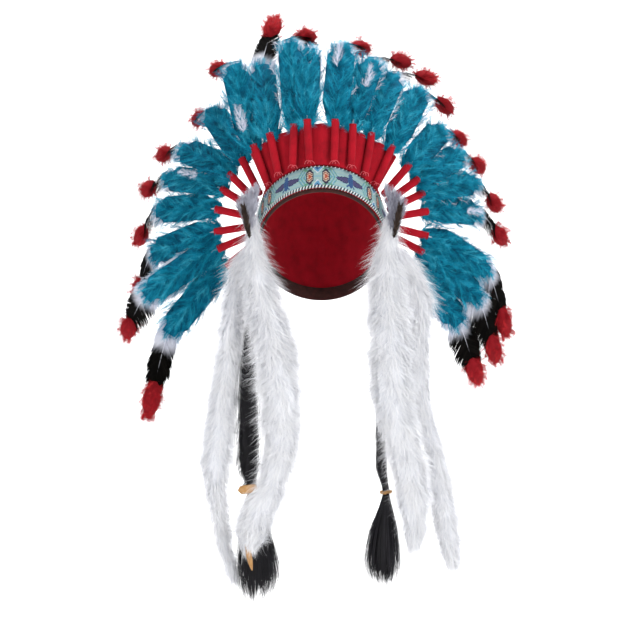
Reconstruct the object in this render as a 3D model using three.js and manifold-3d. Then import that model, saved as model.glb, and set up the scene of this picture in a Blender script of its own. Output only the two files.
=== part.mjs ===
// A feathered headdress: a felt skull cap with a woven brow band, a standing pleated felt panel behind the front
// quills, twenty-two long feathers whose quills are wrapped in felt, and at each temple a tuft of short feathers
// with two hanging strips of white fur and a black hair tassel.
// Millimetres, +Z up. The wearer faces -Y, so the wearer's right is -X. The origin is the middle of the head
// opening, on the plane of the cap's rim, which slopes down from the brow to the nape.
import * as THREE from "three";
import { mergeVertices } from "three/addons/utils/BufferGeometryUtils.js";
import Module from "manifold-3d";

const wasm = await Module();
wasm.setup();

const degrees = Math.PI / 180;
const gap = 0.3; // between pieces that touch

// The head that the cap fits: an ellipsoid, and the slope of the rim plane over it.
const head = { halfWidth: 79, halfLength: 99, halfHeight: 124, centreZ: 12, rimTilt: 38 * degrees };
const capWall = 2;
const sweatband = { wall: 1.2, low: -4, high: 14 };
const browBand = { wall: 1.6, low: -0.5, high: 28.5, halfTurn: 94 * degrees };
const quillRing = { level: 31, firstStation: 13, frontSpacing: 20.5, frontCount: 5, sideSpacing: 13.5 };
const wrap = { length: 54, baseRadius: 4.3, endRadius: 5.2, boreRadius: 1.6, boreDepth: 30 };
const panel = { height: 50, wall: 2.2, pleatDepth: 5, halfSpan: 83, columnWidth: 3.3 };

// Stations along a feather, measured from the foot of its wrap.
const feather = {
  quillStart: 28,
  plumeStart: 57,
  plumeEnd: 172,
  vaneEnd: 248,
  fluffStart: 242,
  fluffEnd: 294,
};
const plumeHalfWidth = 19;
const vaneHalfWidth = 20;
const fluffHalfWidth = 13;

const materials = {
  felt: new THREE.MeshStandardMaterial({ color: 0xa8101f, roughness: 0.95, metalness: 0 }),
  ribbon: new THREE.MeshStandardMaterial({ color: 0xa9ccd3, roughness: 0.8, metalness: 0 }),
  lining: new THREE.MeshStandardMaterial({ color: 0x3a1c17, roughness: 0.9, metalness: 0 }),
  feather: new THREE.MeshStandardMaterial({ color: 0x0b7ea3, roughness: 0.8, metalness: 0 }),
  whiteFeather: new THREE.MeshStandardMaterial({ color: 0xd8d9e2, roughness: 0.8, metalness: 0 }),
  brownFeather: new THREE.MeshStandardMaterial({ color: 0x3c3129, roughness: 0.7, metalness: 0 }),
  fur: new THREE.MeshStandardMaterial({ color: 0xe6e7ee, roughness: 0.9, metalness: 0 }),
  blackHair: new THREE.MeshStandardMaterial({ color: 0x1d1d1f, roughness: 0.6, metalness: 0 }),
  leather: new THREE.MeshStandardMaterial({ color: 0xb08350, roughness: 0.8, metalness: 0 }),
};

const headdress = new THREE.Group();

function addPiece(name, geometry, material) {
  const mesh = new THREE.Mesh(geometry, material);
  mesh.name = name;
  headdress.add(mesh);
}

// ---- Solids and their joins -------------------------------------------------------------------------------

function solidOf(geometry) {
  const bare = geometry.clone();
  bare.deleteAttribute("normal");
  bare.deleteAttribute("uv");
  const merged = mergeVertices(bare, 1e-4);
  return new wasm.Manifold(
    new wasm.Mesh({
      numProp: 3,
      vertProperties: new Float32Array(merged.attributes.position.array),
      triVerts: new Uint32Array(merged.index.array),
    }),
  );
}

function geometryOf(solid) {
  const mesh = solid.getMesh();
  const geometry = new THREE.BufferGeometry();
  geometry.setAttribute("position", new THREE.BufferAttribute(mesh.vertProperties, 3));
  geometry.setIndex(new THREE.BufferAttribute(mesh.triVerts, 1));
  return geometry;
}

// A closed skin over rings of points: each ring has the same number of points, anticlockwise seen from the end.
function loftGeometry(rings) {
  const sides = rings[0].length;
  const positions = rings.flat().flatMap((point) => point.toArray());
  const triangles = [];
  for (let i = 0; i + 1 < rings.length; i++) {
    for (let j = 0; j < sides; j++) {
      const here = i * sides + j;
      const next = i * sides + ((j + 1) % sides);
      triangles.push(here, next, next + sides, here, next + sides, here + sides);
    }
  }
  for (const end of [0, rings.length - 1]) {
    const middle = rings[end].reduce((sum, point) => sum.add(point), new THREE.Vector3()).divideScalar(sides);
    const centre = positions.length / 3;
    positions.push(...middle.toArray());
    for (let j = 0; j < sides; j++) {
      const here = end * sides + j;
      const next = end * sides + ((j + 1) % sides);
      triangles.push(...(end === 0 ? [centre, next, here] : [centre, here, next]));
    }
  }
  const geometry = new THREE.BufferGeometry();
  geometry.setAttribute("position", new THREE.Float32BufferAttribute(positions, 3));
  geometry.setIndex(triangles);
  return geometry;
}

// ---- The head form and the rim plane ----------------------------------------------------------------------

const rimUp = new THREE.Vector3(0, Math.sin(head.rimTilt), Math.cos(head.rimTilt));
const rimForward = new THREE.Vector3(0, -Math.cos(head.rimTilt), Math.sin(head.rimTilt));

function headSolid(outset) {
  const ball = new THREE.SphereGeometry(1, 32, 16);
  ball.rotateX(Math.PI / 2);
  ball.scale(head.halfWidth + outset, head.halfLength + outset, head.halfHeight + outset);
  ball.translate(0, 0, head.centreZ);
  return solidOf(ball);
}

function shell(inside, outside) {
  return headSolid(outside).subtract(headSolid(inside));
}

// The slice of space between two levels above the rim plane.
function slab(low, high) {
  const wide = 600;
  const box = new THREE.BoxGeometry(wide, wide, high - low);
  box.translate(0, 0, (low + high) / 2);
  box.rotateX(-head.rimTilt);
  return solidOf(box);
}

function outwardAt(point) {
  return new THREE.Vector3(
    point.x / head.halfWidth ** 2,
    point.y / head.halfLength ** 2,
    (point.z - head.centreZ) / head.halfHeight ** 2,
  ).normalize();
}

// The ellipse in which the plane at a level above the rim cuts the head form, at a turn from the brow.
function headSection(level) {
  const sin = Math.sin(head.rimTilt);
  const cos = Math.cos(head.rimTilt);
  const { halfWidth, halfLength, halfHeight, centreZ } = head;
  const square = cos ** 2 / halfLength ** 2 + sin ** 2 / halfHeight ** 2;
  const linear = (-2 * level * sin * cos) / halfLength ** 2 + (2 * (level * cos - centreZ) * sin) / halfHeight ** 2;
  const constant = (level * sin) ** 2 / halfLength ** 2 + (level * cos - centreZ) ** 2 / halfHeight ** 2 - 1;
  const middle = -linear / (2 * square);
  const rest = linear ** 2 / (4 * square) - constant;
  const across = halfWidth * Math.sqrt(rest);
  const along = Math.sqrt(rest / square);
  return (turn) =>
    rimUp
      .clone()
      .multiplyScalar(level)
      .addScaledVector(rimForward, middle + along * Math.cos(turn))
      .add(new THREE.Vector3(across * Math.sin(turn), 0, 0));
}

// The point on the quill ring at a distance round from the brow; positive is the wearer's left, +X.
const ringSection = headSection(quillRing.level);
function ringPoint(distance) {
  const step = 0.5 * degrees;
  let turn = 0;
  let gone = 0;
  let here = ringSection(0);
  while (gone < Math.abs(distance)) {
    turn += step;
    const next = ringSection(turn);
    gone += next.distanceTo(here);
    here = next;
  }
  return distance < 0 ? here.clone().setX(-here.x) : here;
}

// ---- The cap, its sweatband and the brow band -------------------------------------------------------------

function buildCap() {
  addPiece("skull_cap", geometryOf(shell(0, capWall).intersect(slab(0, 300))), materials.felt);
}

function buildSweatband() {
  const ring = shell(-gap - sweatband.wall, -gap).intersect(slab(sweatband.low, sweatband.high));
  addPiece("sweatband", geometryOf(ring), materials.lining);
}

function buildBrowBand() {
  const ring = shell(capWall + gap, capWall + gap + browBand.wall).intersect(slab(browBand.low, browBand.high));
  // The part of the ring behind the band's ends is taken away by a wedge that opens to the back.
  const reach = 300;
  const wedge = new THREE.Shape();
  wedge.moveTo(0, 0);
  wedge.lineTo(reach * Math.sin(browBand.halfTurn), -reach * Math.cos(browBand.halfTurn));
  wedge.lineTo(reach, reach);
  wedge.lineTo(-reach, reach);
  wedge.lineTo(-reach * Math.sin(browBand.halfTurn), -reach * Math.cos(browBand.halfTurn));
  const behind = new THREE.ExtrudeGeometry(wedge, { depth: reach, bevelEnabled: false });
  behind.translate(0, 0, -reach / 2);
  addPiece("brow_band", geometryOf(ring.subtract(solidOf(behind))), materials.ribbon);
}

// ---- The feathers -----------------------------------------------------------------------------------------

// One row for each feather, from the brow to behind the ear, on the wearer's right (-X) and left (+X).
// spread: the way it points seen from the front, in degrees from straight up towards its own side.
// lean: how far it leans back from that view. Each is given for the wrap, the plume and the tip.
const rightFeathers = [
  { wrapSpread: 3, wrapLean: 5, plumeSpread: -2, plumeLean: 37, tipSpread: 25, tipLean: 78 },
  { wrapSpread: -2, wrapLean: 6, plumeSpread: 4, plumeLean: 25, tipSpread: -60, tipLean: 74 },
  { wrapSpread: 12, wrapLean: 6, plumeSpread: 6, plumeLean: 40, tipSpread: -14, tipLean: 52 },
  { wrapSpread: 20, wrapLean: 4, plumeSpread: 13, plumeLean: 23, tipSpread: 100, tipLean: 76 },
  { wrapSpread: 27, wrapLean: 18, plumeSpread: 33, plumeLean: 47, tipSpread: 120, tipLean: 78 },
  { wrapSpread: 44, wrapLean: 20, plumeSpread: 64, plumeLean: 51, tipSpread: 98, tipLean: 74 },
  { wrapSpread: 58, wrapLean: 20, plumeSpread: 80, plumeLean: 50, tipSpread: 112, tipLean: 72 },
  { wrapSpread: 77, wrapLean: 18, plumeSpread: 91, plumeLean: 48, tipSpread: 145, tipLean: 65 },
  { wrapSpread: 98, wrapLean: 14, plumeSpread: 109, plumeLean: 42, tipSpread: 158, tipLean: 58 },
  { wrapSpread: 112, wrapLean: 8, plumeSpread: 124, plumeLean: 14, tipSpread: 150, tipLean: 60 },
  { wrapSpread: 129, wrapLean: 4, plumeSpread: 140, plumeLean: 12, tipSpread: 167, tipLean: 14 },
];
const leftFeathers = [
  { wrapSpread: 2, wrapLean: 5, plumeSpread: 6, plumeLean: 33, tipSpread: 90, tipLean: 74 },
  { wrapSpread: 3, wrapLean: 6, plumeSpread: 19, plumeLean: 41, tipSpread: 86, tipLean: 64 },
  { wrapSpread: 10, wrapLean: 8, plumeSpread: 22, plumeLean: 45, tipSpread: 92, tipLean: 60 },
  { wrapSpread: 24, wrapLean: 8, plumeSpread: 26, plumeLean: 45, tipSpread: 118, tipLean: 64 },
  { wrapSpread: 41, wrapLean: 18, plumeSpread: 40, plumeLean: 56, tipSpread: 112, tipLean: 72 },
  { wrapSpread: 54, wrapLean: 20, plumeSpread: 58, plumeLean: 55, tipSpread: 116, tipLean: 72 },
  { wrapSpread: 64, wrapLean: 20, plumeSpread: 78, plumeLean: 52, tipSpread: 134, tipLean: 66 },
  { wrapSpread: 80, wrapLean: 18, plumeSpread: 90, plumeLean: 55, tipSpread: 133, tipLean: 62 },
  { wrapSpread: 104, wrapLean: 14, plumeSpread: 121, plumeLean: 38, tipSpread: 162, tipLean: 40 },
  { wrapSpread: 117, wrapLean: 8, plumeSpread: 131, plumeLean: 36, tipSpread: 162, tipLean: 42 },
  { wrapSpread: 133, wrapLean: 4, plumeSpread: 140, plumeLean: 40, tipSpread: 160, tipLean: 42 },
];

function directionOf(side, spread, lean) {
  const across = Math.cos(lean * degrees);
  return new THREE.Vector3(
    side * Math.sin(spread * degrees) * across,
    Math.sin(lean * degrees),
    Math.cos(spread * degrees) * across,
  );
}

// The foot of a wrap stands clear of the cap, and far enough forward for the panel to pass behind it.
function footOf(distance, direction, width) {
  const onHead = ringPoint(distance);
  const outward = outwardAt(onHead);
  const ahead = new THREE.Vector3().crossVectors(width, direction).normalize();
  const slant = Math.sqrt(1 - direction.dot(outward) ** 2);
  return onHead
    .addScaledVector(outward, capWall + gap + wrap.baseRadius * slant)
    .addScaledVector(ahead, panel.wall / 2 + gap + wrap.endRadius);
}

const blendOf = (value, low, high) => THREE.MathUtils.smoothstep(value, low, high);

// The feathers stand wider apart over the brow than at the sides.
function distanceRound(side, index) {
  const { firstStation, frontSpacing, frontCount, sideSpacing } = quillRing;
  const inFront = Math.min(index, frontCount - 1);
  return side * (firstStation + frontSpacing * inFront + sideSpacing * (index - inFront));
}

// A feather's own line: stations 2 mm apart, each with its place, its direction and the way its width lies.
const stationStep = 2;
function featherLine(side, index, row) {
  const distance = distanceRound(side, index);
  const wrapDirection = directionOf(side, row.wrapSpread, row.wrapLean);
  const plumeDirection = directionOf(side, row.plumeSpread, row.plumeLean);
  const tipDirection = directionOf(side, row.tipSpread, row.tipLean);
  const spread = side * row.wrapSpread * degrees;
  const width = new THREE.Vector3(Math.cos(spread), 0, -Math.sin(spread));
  const place = footOf(distance, wrapDirection, width);
  const stations = [];
  for (let along = 0; along <= feather.fluffEnd; along += stationStep) {
    const direction = wrapDirection
      .clone()
      .lerp(plumeDirection, blendOf(along, wrap.length, wrap.length + 34))
      .lerp(tipDirection, blendOf(along, feather.plumeEnd - 22, feather.plumeEnd + 26))
      .normalize();
    width.addScaledVector(direction, -width.dot(direction)).normalize();
    stations.push({ along, place: place.clone(), direction, width: width.clone() });
    place.addScaledVector(direction, stationStep);
  }
  return { side, index, distance, stations };
}

const stationAt = (line, along) => line.stations[Math.round(along / stationStep)];

function nameOf(kind, line) {
  return `${kind}_${line.side < 0 ? "right" : "left"}_${String(line.index + 1).padStart(2, "0")}`;
}

// The wrap: a felt sleeve with a rounded foot and a bore that the quill stands in.
function buildWrap(line) {
  const { length, baseRadius, endRadius, boreRadius, boreDepth } = wrap;
  const profile = [
    new THREE.Vector2(0, 0),
    new THREE.Vector2(baseRadius * 0.7, 0),
    new THREE.Vector2(baseRadius, 2),
    new THREE.Vector2(endRadius, length),
    new THREE.Vector2(boreRadius, length),
    new THREE.Vector2(boreRadius, length - boreDepth),
    new THREE.Vector2(0, length - boreDepth),
  ];
  const sleeve = new THREE.LatheGeometry(profile, 8);
  sleeve.rotateX(Math.PI / 2);
  const foot = stationAt(line, 0);
  const turned = new THREE.Matrix4().makeBasis(
    foot.width,
    new THREE.Vector3().crossVectors(foot.direction, foot.width),
    foot.direction,
  );
  addPiece(nameOf("quill_wrap", line), sleeve.applyMatrix4(turned.setPosition(foot.place)), materials.felt);
}

// The feather's form along its line: a quill, a soft plume in locks over the vane, the bare vane, a round fluff.
// along: the station; wide: half the width; front and back: the thickness each side of the line.
function featherForm() {
  const quill = { wide: 1.2, front: 1.2, back: 1.2 };
  const form = [
    { along: feather.quillStart, ...quill },
    { along: feather.plumeStart - 2, ...quill },
  ];
  const locks = 8;
  for (let i = 0; i <= locks; i++) {
    const share = i / locks;
    const swell = 0.55 + 0.45 * blendOf(share, 0, 0.3);
    const tuck = i % 2 ? 0.8 : 1;
    form.push({
      along: feather.plumeStart + (feather.plumeEnd - feather.plumeStart) * share,
      wide: plumeHalfWidth * swell * tuck,
      front: 9 * swell * (1 - 0.55 * share ** 3),
      back: 5 * swell * (1 - 0.6 * share ** 3),
    });
  }
  form.push({ along: feather.plumeEnd + 6, wide: vaneHalfWidth * 0.95, front: 1.1, back: 1.1 });
  form.push({ along: feather.vaneEnd - 24, wide: vaneHalfWidth * 0.9, front: 1, back: 1 });
  form.push({ along: feather.vaneEnd - 8, wide: vaneHalfWidth * 0.5, front: 1, back: 1 });
  form.push({ along: feather.fluffStart + 6, wide: fluffHalfWidth * 0.75, front: 7, back: 7 });
  form.push({ along: feather.fluffStart + 28, wide: fluffHalfWidth, front: 10, back: 10 });
  form.push({ along: feather.fluffEnd, wide: fluffHalfWidth * 0.4, front: 3.5, back: 3.5 });
  return form;
}

// Half the way from a station to the nearest part of any other feather, so that neighbours never meet.
function roomAt(line, lines, place) {
  let nearest = Infinity;
  for (const other of lines) {
    if (other === line) continue;
    for (let i = 8; i < other.stations.length; i += 2) {
      nearest = Math.min(nearest, other.stations[i].place.distanceTo(place));
    }
  }
  return 0.48 * nearest;
}

function buildFeather(line, lines) {
  const rings = featherForm().map(({ along, wide, front, back }) => {
    const { place, direction, width } = stationAt(line, Math.min(along, feather.fluffEnd));
    const face = new THREE.Vector3().crossVectors(width, direction); // towards the wearer's front
    const room = Math.min(1, roomAt(line, lines, place) / wide);
    const corner = (x, y) =>
      place
        .clone()
        .addScaledVector(width, x * wide * room)
        .addScaledVector(face, y);
    return [
      corner(1, 0),
      corner(0.5, -back * room),
      corner(-0.5, -back * room),
      corner(-1, 0),
      corner(-0.5, front * room),
      corner(0.5, front * room),
    ];
  });
  addPiece(nameOf("feather", line), loftGeometry(rings), materials.feather);
}

// ---- The standing pleated panel behind the front wraps ------------------------------------------------------

// A ruled wall that follows the wraps' own slant and comes forward between them in soft pleats.
function buildPanel(lines) {
  const inOrder = [...lines].sort((a, b) => a.distance - b.distance);
  const ruleAt = (distance) => {
    const after = inOrder.findIndex((line) => line.distance > distance);
    const [a, b] = [inOrder[after - 1], inOrder[after]];
    const share = (distance - a.distance) / (b.distance - a.distance);
    const [footA, footB] = [stationAt(a, 0), stationAt(b, 0)];
    const direction = footA.direction.clone().lerp(footB.direction, share).normalize();
    const width = footA.width.clone().lerp(footB.width, share).normalize();
    const outward = outwardAt(ringPoint(distance));
    const foot = ringPoint(distance).addScaledVector(outward, capWall + gap + panel.wall / 2);
    const ahead = new THREE.Vector3().crossVectors(width, direction).normalize();
    return { foot, direction, ahead, pleat: (1 - Math.cos(2 * Math.PI * share)) / 2 };
  };
  const columns = Math.round((2 * panel.halfSpan) / panel.columnWidth);
  const rings = [];
  for (let i = 0; i <= columns; i++) {
    const distance = -panel.halfSpan + (2 * panel.halfSpan * i) / columns;
    const { foot, direction, ahead, pleat } = ruleAt(distance);
    const point = (up, forward) =>
      foot
        .clone()
        .addScaledVector(direction, up)
        .addScaledVector(ahead, forward);
    const half = panel.wall / 2;
    const fold = panel.pleatDepth * pleat;
    rings.push([
      point(0, half + 0.3 * fold),
      point(panel.height, half + fold),
      point(panel.height, -half + fold),
      point(0, -half + 0.3 * fold),
    ]);
  }
  addPiece("crown_panel", loftGeometry(rings.reverse()), materials.felt);
}

// ---- Fur tails and hair tassels ----------------------------------------------------------------------------

// The hanging pieces fall forward from the temples, as they would over the wearer's chest.
const drape = { top: 20, bottom: -190, startDepth: -46, endDepth: -84, behind: 27 };
const depthAt = (height) =>
  THREE.MathUtils.mapLinear(
    THREE.MathUtils.smoothstep(-height, -drape.top, -drape.bottom),
    0,
    1,
    drape.startDepth,
    drape.endDepth,
  );

// One row for each height along a hanging piece: where its middle is across the object, and half its width.
const furTails = {
  right_inner: {
    behind: 0,
    rows: [
      { height: 16, across: -84, half: 11 },
      { height: -5, across: -83, half: 14 },
      { height: -24, across: -80, half: 18 },
      { height: -65, across: -72, half: 25 },
      { height: -114, across: -59, half: 33 },
      { height: -186, across: -49, half: 34 },
      { height: -242, across: -48, half: 28 },
      { height: -284, across: -57, half: 24 },
      { height: -300, across: -66, half: 27 },
      { height: -322, across: -77, half: 31 },
      { height: -349, across: -84, half: 25 },
      { height: -366, across: -87, half: 8 },
    ],
  },
  right_outer: {
    behind: drape.behind,
    rows: [
      { height: -2, across: -95, half: 6 },
      { height: -21, across: -100, half: 11 },
      { height: -65, across: -107, half: 15 },
      { height: -126, across: -114, half: 17 },
      { height: -186, across: -121, half: 20 },
      { height: -242, across: -127, half: 25 },
      { height: -271, across: -130, half: 21 },
      { height: -308, across: -128, half: 14 },
      { height: -368, across: -119, half: 11 },
      { height: -409, across: -107, half: 4 },
    ],
  },
  left_inner: {
    behind: 0,
    rows: [
      { height: 16, across: 84, half: 14 },
      { height: -2, across: 82, half: 17 },
      { height: -22, across: 81, half: 23 },
      { height: -56, across: 80, half: 29 },
      { height: -124, across: 83, half: 32 },
      { height: -186, across: 85, half: 34 },
      { height: -235, across: 97, half: 31 },
      { height: -287, across: 109, half: 29 },
      { height: -340, across: 113, half: 20 },
      { height: -367, across: 112, half: 9 },
    ],
  },
  left_outer: {
    behind: drape.behind,
    rows: [
      { height: -2, across: 98, half: 9 },
      { height: -39, across: 114, half: 17 },
      { height: -73, across: 124, half: 16 },
      { height: -124, across: 119, half: 15 },
      { height: -186, across: 121, half: 14 },
      { height: -224, across: 131, half: 14 },
      { height: -269, across: 143, half: 17 },
      { height: -304, across: 147, half: 19 },
      { height: -352, across: 154, half: 21 },
      { height: -391, across: 161, half: 10 },
    ],
  },
};
const blackTassels = {
  right: {
    tie: { height: -295, radius: 11, length: 8 },
    rows: [
      { height: 0, across: -83, half: 4 },
      { height: -65, across: -86, half: 4 },
      { height: -120, across: -90, half: 6 },
      { height: -187, across: -90, half: 9 },
      { height: -235, across: -90, half: 10 },
      { height: -277, across: -89, half: 9 },
      { height: -288, across: -87, half: 5 },
      { height: -302, across: -86, half: 5 },
      { height: -320, across: -85, half: 13 },
      { height: -349, across: -82, half: 20 },
      { height: -380, across: -79, half: 24 },
      { height: -410, across: -78, half: 25 },
      { height: -431, across: -79, half: 15 },
    ],
  },
  left: {
    tie: { height: -300, radius: 7.8, length: 5 },
    rows: [
      { height: 0, across: 84, half: 4 },
      { height: -65, across: 80, half: 4 },
      { height: -150, across: 74, half: 5 },
      { height: -224, across: 72, half: 7 },
      { height: -271, across: 73, half: 7 },
      { height: -290, across: 77, half: 4.5 },
      { height: -302, across: 79, half: 4.5 },
      { height: -322, across: 78, half: 11 },
      { height: -345, across: 76, half: 19 },
      { height: -375, across: 75, half: 22 },
      { height: -394, across: 75, half: 22 },
      { height: -412, across: 75, half: 15 },
    ],
  },
};

function valueAt(rows, height, column) {
  const below = Math.max(1, rows.findIndex((row) => row.height <= height));
  const [a, b] = [rows[below - 1], rows[below]];
  return THREE.MathUtils.mapLinear(height, a.height, b.height, a[column], b[column]);
}

// One ring of a hanging piece, flatter from front to back than it is wide.
function hangingRing(rows, behind, height, tuck = 1) {
  const sides = 8;
  const half = valueAt(rows, height, "half") * tuck;
  const thick = Math.min(half, 4 + 0.35 * half);
  return Array.from({ length: sides }, (_, i) => {
    const turn = (2 * Math.PI * i) / sides;
    return new THREE.Vector3(
      valueAt(rows, height, "across") + half * Math.cos(turn),
      depthAt(height) + behind - thick * Math.sin(turn),
      height,
    );
  });
}

// The fur falls in locks: every second ring is drawn in.
const furLock = { length: 42, tuck: 0.86 };
function buildFurTails() {
  for (const [name, { behind, rows }] of Object.entries(furTails)) {
    const top = rows[0].height;
    const drop = top - rows.at(-1).height;
    const steps = 2 * Math.round(drop / furLock.length);
    const rings = Array.from({ length: steps + 1 }, (_, i) =>
      hangingRing(rows, behind, top - (drop * i) / steps, i % 2 ? 1 : furLock.tuck),
    );
    addPiece(`fur_tail_${name}`, loftGeometry(rings), materials.fur);
  }
}

// Each tassel hangs from a thin strand of the same hair, with a leather ring round its neck.
const neckRadius = 6.2;
function buildTassels() {
  for (const [side, { tie, rows }] of Object.entries(blackTassels)) {
    const rings = rows.map(({ height }) => hangingRing(rows, drape.behind, height));
    addPiece(`black_tassel_${side}`, loftGeometry(rings), materials.blackHair);
    const profile = [
      new THREE.Vector2(neckRadius, -tie.length / 2),
      new THREE.Vector2(tie.radius, -tie.length / 2),
      new THREE.Vector2(tie.radius, tie.length / 2),
      new THREE.Vector2(neckRadius, tie.length / 2),
      new THREE.Vector2(neckRadius, -tie.length / 2),
    ];
    const ring = new THREE.LatheGeometry(profile, 12);
    ring.rotateX(Math.PI / 2);
    ring.translate(valueAt(rows, tie.height, "across"), depthAt(tie.height) + drape.behind, tie.height);
    addPiece(`tassel_tie_${side}`, ring, materials.leather);
  }
}

// ---- Temple tufts -------------------------------------------------------------------------------------------

// Seen from the front, each tuft is a narrow fan that leans out a little.
const tuft = { across: 88, depth: -50, height: 22, rootRadius: 4, length: 56, shortest: 34, halfWidth: 6.5 };
const tuftFan = { count: 7, firstSpread: -16, lastSpread: 34, forwardLean: 10, stagger: 1.2 };
const templeFeather = { spread: 12, length: 36, halfWidth: 3.4, ahead: 10, drop: 8 };

// A small flat feather: narrow at its root, widest past its middle, and pointed.
function smallFeather(root, direction, side, length, halfWidth) {
  const width = new THREE.Vector3(0, -1, 0).cross(direction).normalize();
  const face = new THREE.Vector3().crossVectors(width, direction).normalize();
  const outline = [
    { along: 0, wide: 0.25 },
    { along: 0.35, wide: 0.85 },
    { along: 0.65, wide: 1 },
    { along: 1, wide: 0.12 },
  ];
  const thickness = 0.8;
  const rings = outline.map(({ along, wide }) => {
    const middle = root.clone().addScaledVector(direction, along * length);
    return [
      middle.clone().addScaledVector(width, wide * halfWidth),
      middle.clone().addScaledVector(face, -thickness),
      middle.clone().addScaledVector(width, -wide * halfWidth),
      middle.clone().addScaledVector(face, thickness),
    ];
  });
  return loftGeometry(rings);
}

function buildTuft(side, sideName) {
  const root = new THREE.Vector3(side * tuft.across, tuft.depth, tuft.height);
  const ball = new THREE.SphereGeometry(tuft.rootRadius, 8, 6);
  ball.translate(...root.toArray());
  const leaves = [solidOf(ball)];
  for (let i = 0; i < tuftFan.count; i++) {
    const share = i / (tuftFan.count - 1);
    const spread = THREE.MathUtils.lerp(tuftFan.firstSpread, tuftFan.lastSpread, share);
    const length = THREE.MathUtils.lerp(tuft.length, tuft.shortest, share);
    const direction = directionOf(side, spread, -tuftFan.forwardLean);
    const start = root.clone().setY(root.y + tuftFan.stagger * (i % 2 ? 1 : -1));
    leaves.push(solidOf(smallFeather(start, direction, side, length, tuft.halfWidth)));
  }
  addPiece(`temple_tuft_${sideName}`, geometryOf(wasm.Manifold.union(leaves)), materials.whiteFeather);

  const brownRoot = root.clone().add(new THREE.Vector3(0, -templeFeather.ahead, -templeFeather.drop));
  const brownDirection = directionOf(side, templeFeather.spread, -tuftFan.forwardLean);
  const brown = smallFeather(brownRoot, brownDirection, side, templeFeather.length, templeFeather.halfWidth);
  addPiece(`temple_feather_${sideName}`, brown, materials.brownFeather);
}

// ---- Assembly ----------------------------------------------------------------------------------------------

buildCap();
buildSweatband();
buildBrowBand();

const featherLines = [
  ...rightFeathers.map((row, index) => featherLine(-1, index, row)),
  ...leftFeathers.map((row, index) => featherLine(1, index, row)),
];
for (const line of featherLines) {
  buildWrap(line);
  buildFeather(line, featherLines);
}
buildPanel(featherLines);
buildFurTails();
buildTassels();
buildTuft(-1, "right");
buildTuft(1, "left");

export default headdress;
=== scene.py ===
import math

import bpy
import numpy as np
from mathutils import Matrix, Vector


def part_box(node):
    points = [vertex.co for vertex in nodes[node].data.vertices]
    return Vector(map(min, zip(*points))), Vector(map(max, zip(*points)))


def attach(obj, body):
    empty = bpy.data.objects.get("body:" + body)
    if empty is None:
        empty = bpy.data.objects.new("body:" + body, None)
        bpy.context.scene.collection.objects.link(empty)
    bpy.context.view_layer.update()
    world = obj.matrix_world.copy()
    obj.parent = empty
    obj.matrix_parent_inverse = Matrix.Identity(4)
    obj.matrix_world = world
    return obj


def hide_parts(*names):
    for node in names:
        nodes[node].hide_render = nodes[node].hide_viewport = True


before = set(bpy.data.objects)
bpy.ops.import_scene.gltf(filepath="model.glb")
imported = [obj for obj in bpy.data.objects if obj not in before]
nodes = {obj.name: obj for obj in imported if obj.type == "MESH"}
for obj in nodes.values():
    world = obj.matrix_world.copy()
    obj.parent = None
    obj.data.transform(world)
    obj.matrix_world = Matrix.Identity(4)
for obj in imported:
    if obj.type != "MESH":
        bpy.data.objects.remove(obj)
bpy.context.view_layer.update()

mm = 0.001
sides = {"right": -1, "left": 1}  # the wearer's right is -X
featherCount = 11  # on each side

# Camera first: straight on, a little below the brow
view = {"place": (-0.010, -2.500, -0.082), "lens": 114.8, "sensor": 36}
bpy.ops.object.camera_add(location=view["place"], rotation=(math.radians(90), 0, 0))
camera = bpy.context.object
camera.data.lens = view["lens"]
camera.data.sensor_width = view["sensor"]
bpy.context.scene.camera = camera


def deselectAll():
    if bpy.context.object and bpy.context.object.mode != "OBJECT":
        bpy.ops.object.mode_set(mode="OBJECT")
    bpy.ops.object.select_all(action="DESELECT")


def pick(piece):
    deselectAll()
    bpy.context.view_layer.objects.active = piece
    piece.select_set(True)


def applyModifier(piece, kind, **values):
    pick(piece)
    modifier = piece.modifiers.new(kind.title(), kind)
    for key, value in values.items():
        setattr(modifier, key, value)
    bpy.ops.object.modifier_apply(modifier=modifier.name)


# Opens edit mode with only those edges or faces selected that pass a test
def editOnly(piece, items, kind, test):
    bpy.ops.object.mode_set(mode="EDIT")
    bpy.ops.mesh.select_mode(type=kind)
    bpy.ops.mesh.select_all(action="DESELECT")
    bpy.ops.object.mode_set(mode="OBJECT")
    for item in getattr(piece.data, items):
        item.select = bool(test(item))
    bpy.ops.object.mode_set(mode="EDIT")


def cutAll(place, normal, **cleared):
    bpy.ops.object.mode_set(mode="EDIT")
    bpy.ops.mesh.select_all(action="SELECT")
    bpy.ops.mesh.bisect(plane_co=tuple(place), plane_no=tuple(normal), **cleared)
    bpy.ops.object.mode_set(mode="OBJECT")


def smoothByAngle(piece, degrees):
    pick(piece)
    bpy.ops.object.shade_smooth_by_angle(angle=math.radians(degrees))


def vertexPlaces(mesh):
    places = np.empty(3 * len(mesh.vertices))
    mesh.vertices.foreach_get("co", places)
    return places.reshape(-1, 3)


# Every finished piece is named, hangs on the one body and hides the CAD nodes it stands for
def fit(piece, name, slotName, *replaced):
    piece.name = name
    piece.data.name = name
    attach(piece, "root")
    if replaced:
        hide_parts(*replaced)
    return piece


# Stage
stage = {"floor": -0.53, "halfWidth": 4.6, "front": -3.8, "back": 3.6, "rise": 3.6, "round": 1.2}


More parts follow.
